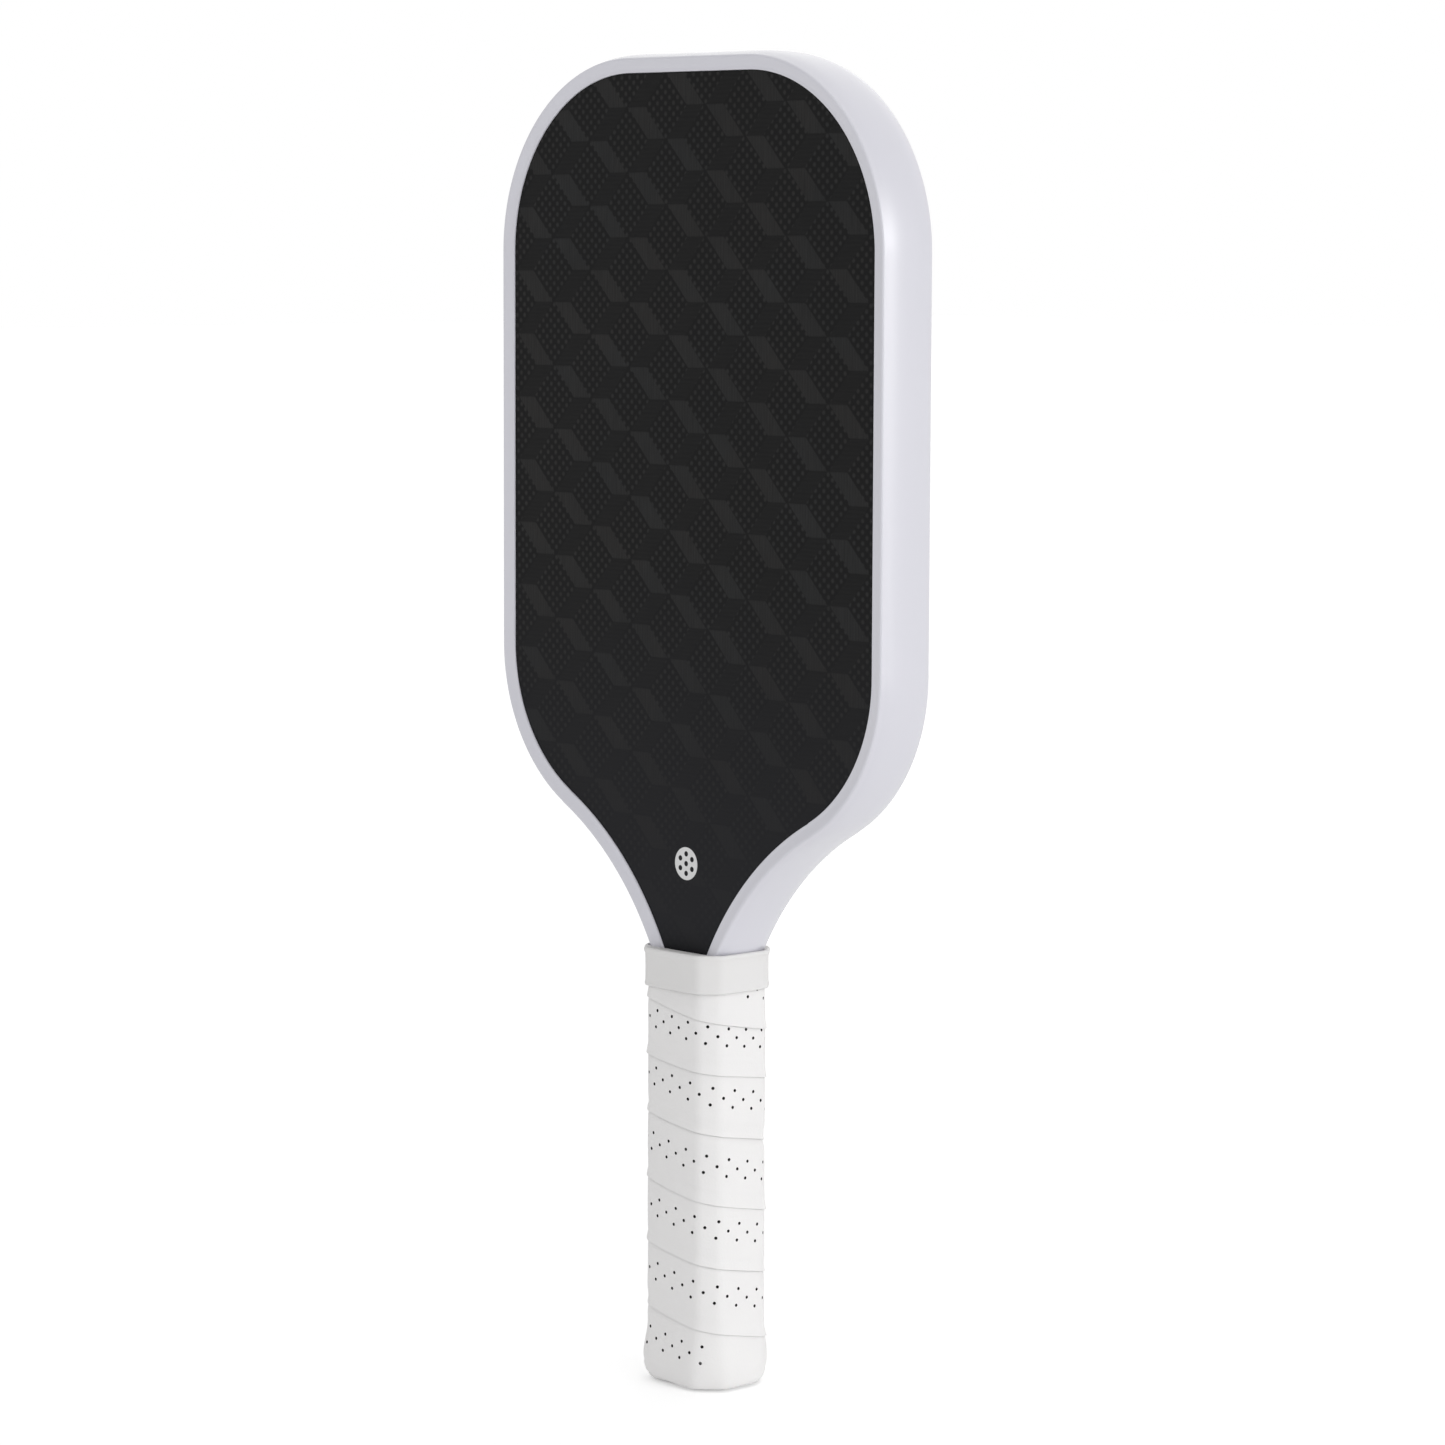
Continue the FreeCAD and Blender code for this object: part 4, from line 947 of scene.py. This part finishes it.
def strip_points(along, across, outside, dimple=0.0):
    """Points of the strip at a distance along it and across it, on its outside or its inside."""
    tilt = tilt_of(along)
    wound = along - across * np.sin(tilt)
    height = middle_of(along) + across * np.cos(tilt)
    # The part that would hang below the butt is squeezed in above its trimmed edge.
    bare, low = bare_lower_edge(wound), lower_edge(wound)
    squeezed = low + (height - bare) * (BOTTOM_SQUEEZE - low) / (BOTTOM_SQUEEZE - bare)
    height = np.where((height < BOTTOM_SQUEEZE) & (bare < low), squeezed, height)
    lift = underneath(wound, height)
    if outside:
        from_lower = np.clip(height - low, 0.0, None)
        from_upper = np.clip(upper_edge(wound) - height, 0.0, None)
        own = thickness_at(from_lower, from_upper)
        from_edge = np.minimum(from_lower, from_upper)
        own = own * (EDGE_SHARE + (1 - EDGE_SHARE) * np.sqrt(np.clip(from_edge / EDGE_ROUND, 0.0, 1.0)))
        end = smooth((wound - STRIP_TIP) / TIP_LENGTH)
        lift = lift + UPPER_EDGE_THICKNESS / 2 + (own - UPPER_EDGE_THICKNESS / 2) * end
        lift = lift + wobble(wound, height) * smooth(from_edge / WOBBLE_EDGE) - dimple
    return on_handle(-wound, height, lift)


def across_lines():
    """Places across the strip of its mesh lines, with one more line close to each edge."""
    lines = np.linspace(-STRIP_WIDTH / 2, STRIP_WIDTH / 2, STRIP_CELLS + 1)
    return np.concatenate([lines[:1], [lines[0] + EDGE_ROUND], lines[1:-1],
                           [lines[-1] - EDGE_ROUND], lines[-1:]])


def fit_across(along, lines):
    """The same lines at each distance along, squeezed where the strip is cut narrower."""
    low, high = lines[0], lines[-1]
    cut = np.minimum((upper_edge(along) - middle_of(along)) * np.cos(tilt_of(along)), high)[:, None]
    even = low + (lines[None, :] - low) * (cut - low) / (high - low)
    knee = np.maximum(cut - TOP_SQUEEZE, low)
    beyond = knee + (lines[None, :] - knee) / (high - knee) * (cut - knee)
    late = np.where(lines[None, :] <= knee, lines[None, :], beyond)
    fitted = np.where((along < TAPER_START)[:, None], even, late)
    return np.where(cut >= high - 1e-6, lines[None, :], fitted)


def mesh_distances():
    """Where the mesh's rows lie along the strip, HOLE_CELLS to each hole, and the first hole's row."""
    first_share = (HOLE_TURNS[1] - HOLE_TURNS[0]) / (HOLE_COUNTS[1] - HOLE_COUNTS[0])
    last_share = (HOLE_TURNS[-1] - HOLE_TURNS[-2]) / (HOLE_COUNTS[-1] - HOLE_COUNTS[-2])
    before = math.ceil((HOLE_TURNS[0] - STRIP_TIP / TURN) / first_share) * HOLE_CELLS
    top = np.interp(STRIP_TOP + STRIP_WIDTH / 2 - TOP_SLACK, MIDDLE, WOUND) / TURN
    after = math.ceil((top - HOLE_TURNS[-1]) / last_share) * HOLE_CELLS
    counts = np.arange(-before, HOLE_COUNTS[-1] * HOLE_CELLS + after) / HOLE_CELLS
    turns = np.interp(counts, HOLE_COUNTS, HOLE_TURNS)
    turns = np.where(counts < 0, HOLE_TURNS[0] + counts * first_share, turns)
    beyond = counts - HOLE_COUNTS[-1]
    turns = np.where(beyond > 0, HOLE_TURNS[-1] + beyond * last_share, turns)
    return turns * TURN, before


def build_grip_strip(skin, backing):
    along, first_hole = mesh_distances()
    lines = across_lines()
    across = fit_across(along, lines)
    rows, columns = across.shape
    grid_along = np.repeat(along[:, None], columns, axis=1)
    cell = STRIP_WIDTH / STRIP_CELLS

    # The cells that stay whole, and the holes' patches: first cell, and middle along and across.
    filled = np.ones((rows - 1, columns - 1), bool)
    patches = []
    middle_cell = (columns - 1) // 2
    for number in (-1, 0, 1):
        shift = HOLE_CELLS // 2 if number == 0 else 0
        column = middle_cell + number * HOLE_ROW_CELLS
        for row in range(first_hole + shift, rows - PATCH, HOLE_CELLS):
            regular = abs(across[row, column + 2] - lines[column + 2]) < 1e-6
            if along[row] > HOLE_LAST or not regular:
                continue
            filled[row - 1:row - 1 + PATCH, column - 1:column - 1 + PATCH] = False
            patches.append((row - 1, column - 1, (along[row] + along[row + 1]) / 2,
                            number * HOLE_ROW_CELLS * cell))

    outer = strip_points(grid_along, across, True).reshape(-1, 3)
    inner = strip_points(grid_along, across, False).reshape(-1, 3)
    count = rows * columns
    angles = [math.radians(225 + 360 / RIM * step) for step in range(RIM)]
    ring_along = np.array([[middle + HOLE_RADIUS * math.cos(angle) for angle in angles]
                           for _, _, middle, _ in patches])
    ring_across = np.array([[centre + HOLE_RADIUS * math.sin(angle) for angle in angles]
                            for *_, centre in patches])
    ring_outer = strip_points(ring_along, ring_across, True, HOLE_DIMPLE).reshape(-1, 3)
    ring_inner = strip_points(ring_along, ring_across, False).reshape(-1, 3)
    points = np.concatenate([outer, inner, ring_outer, ring_inner])

    def at(row, column):
        return row * columns + column

    faces, kinds = [], []

    def face(corners, kind):
        faces.append(corners)
        kinds.append(kind)

    for row, column in zip(*np.nonzero(filled)):
        a, b = at(row, column), at(row + 1, column)
        face((a, a + 1, b + 1, b), 0)
        face((count + a, count + b, count + b + 1, count + a + 1), 1)
    for number, (row, column, *_) in enumerate(patches):
        rim = [at(row + step, column) for step in range(PATCH)]
        rim += [at(row + PATCH, column + step) for step in range(PATCH)]
        rim += [at(row + PATCH - step, column + PATCH) for step in range(PATCH)]
        rim += [at(row, column + PATCH - step) for step in range(PATCH)]
        ring = [2 * count + number * RIM + step for step in range(RIM)]
        below = [corner + len(patches) * RIM for corner in ring]
        for step in range(RIM):
            after = (step + 1) % RIM
            face((rim[step], ring[step], ring[after], rim[after]), 0)
            face((count + rim[step], count + rim[after], below[after], below[step]), 1)
            # The hole's wall takes the near-black backing finish: painted shade inside the hole.
            face((ring[after], ring[step], below[step], below[after]), 1)
    # The lower edge's wall takes the near-black backing finish, a painted shadow line along each seam; the
    # upper edge's wall takes the grip's own finish.
    for row in range(rows - 1):
        a, b = at(row, 0), at(row + 1, 0)
        face((a, b, count + b, count + a), 1)
        a, b = at(row, columns - 1), at(row + 1, columns - 1)
        face((b, a, count + a, count + b), 0)
    for column in range(columns - 1):
        a = at(0, column)
        face((a + 1, a, count + a, count + a + 1), 0)
        a = at(rows - 1, column)
        face((a, a + 1, count + a + 1, count + a), 0)

    # The points inside the patches belong to no face, so they are dropped.
    used = np.zeros(len(points), bool)
    used[np.concatenate([np.array(corners) for corners in faces])] = True
    renumber = np.cumsum(used) - 1
    faces = [tuple(int(renumber[corner]) for corner in corners) for corners in faces]
    piece = add_piece("grip_strip", points[used], faces, [skin, backing], 50.0, kinds)
    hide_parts("grip_wrap")
    widths = across[:, -1] - across[:, 0]
    area = float(np.sum((widths[1:] + widths[:-1]) / 2 * np.diff(along)))


# ---------------------------------------------------------------- the scene

place_camera()
light_studio()
MATERIALS = all_materials()
dress_nodes(MATERIALS)
lay_floor(floor_white())
build_guard(MATERIALS["guard_white"])
build_collar(MATERIALS["collar_rubber"])
build_cap(MATERIALS["cap_plastic"])
build_grip_strip(MATERIALS["grip_white"], MATERIALS["backing_tape"])
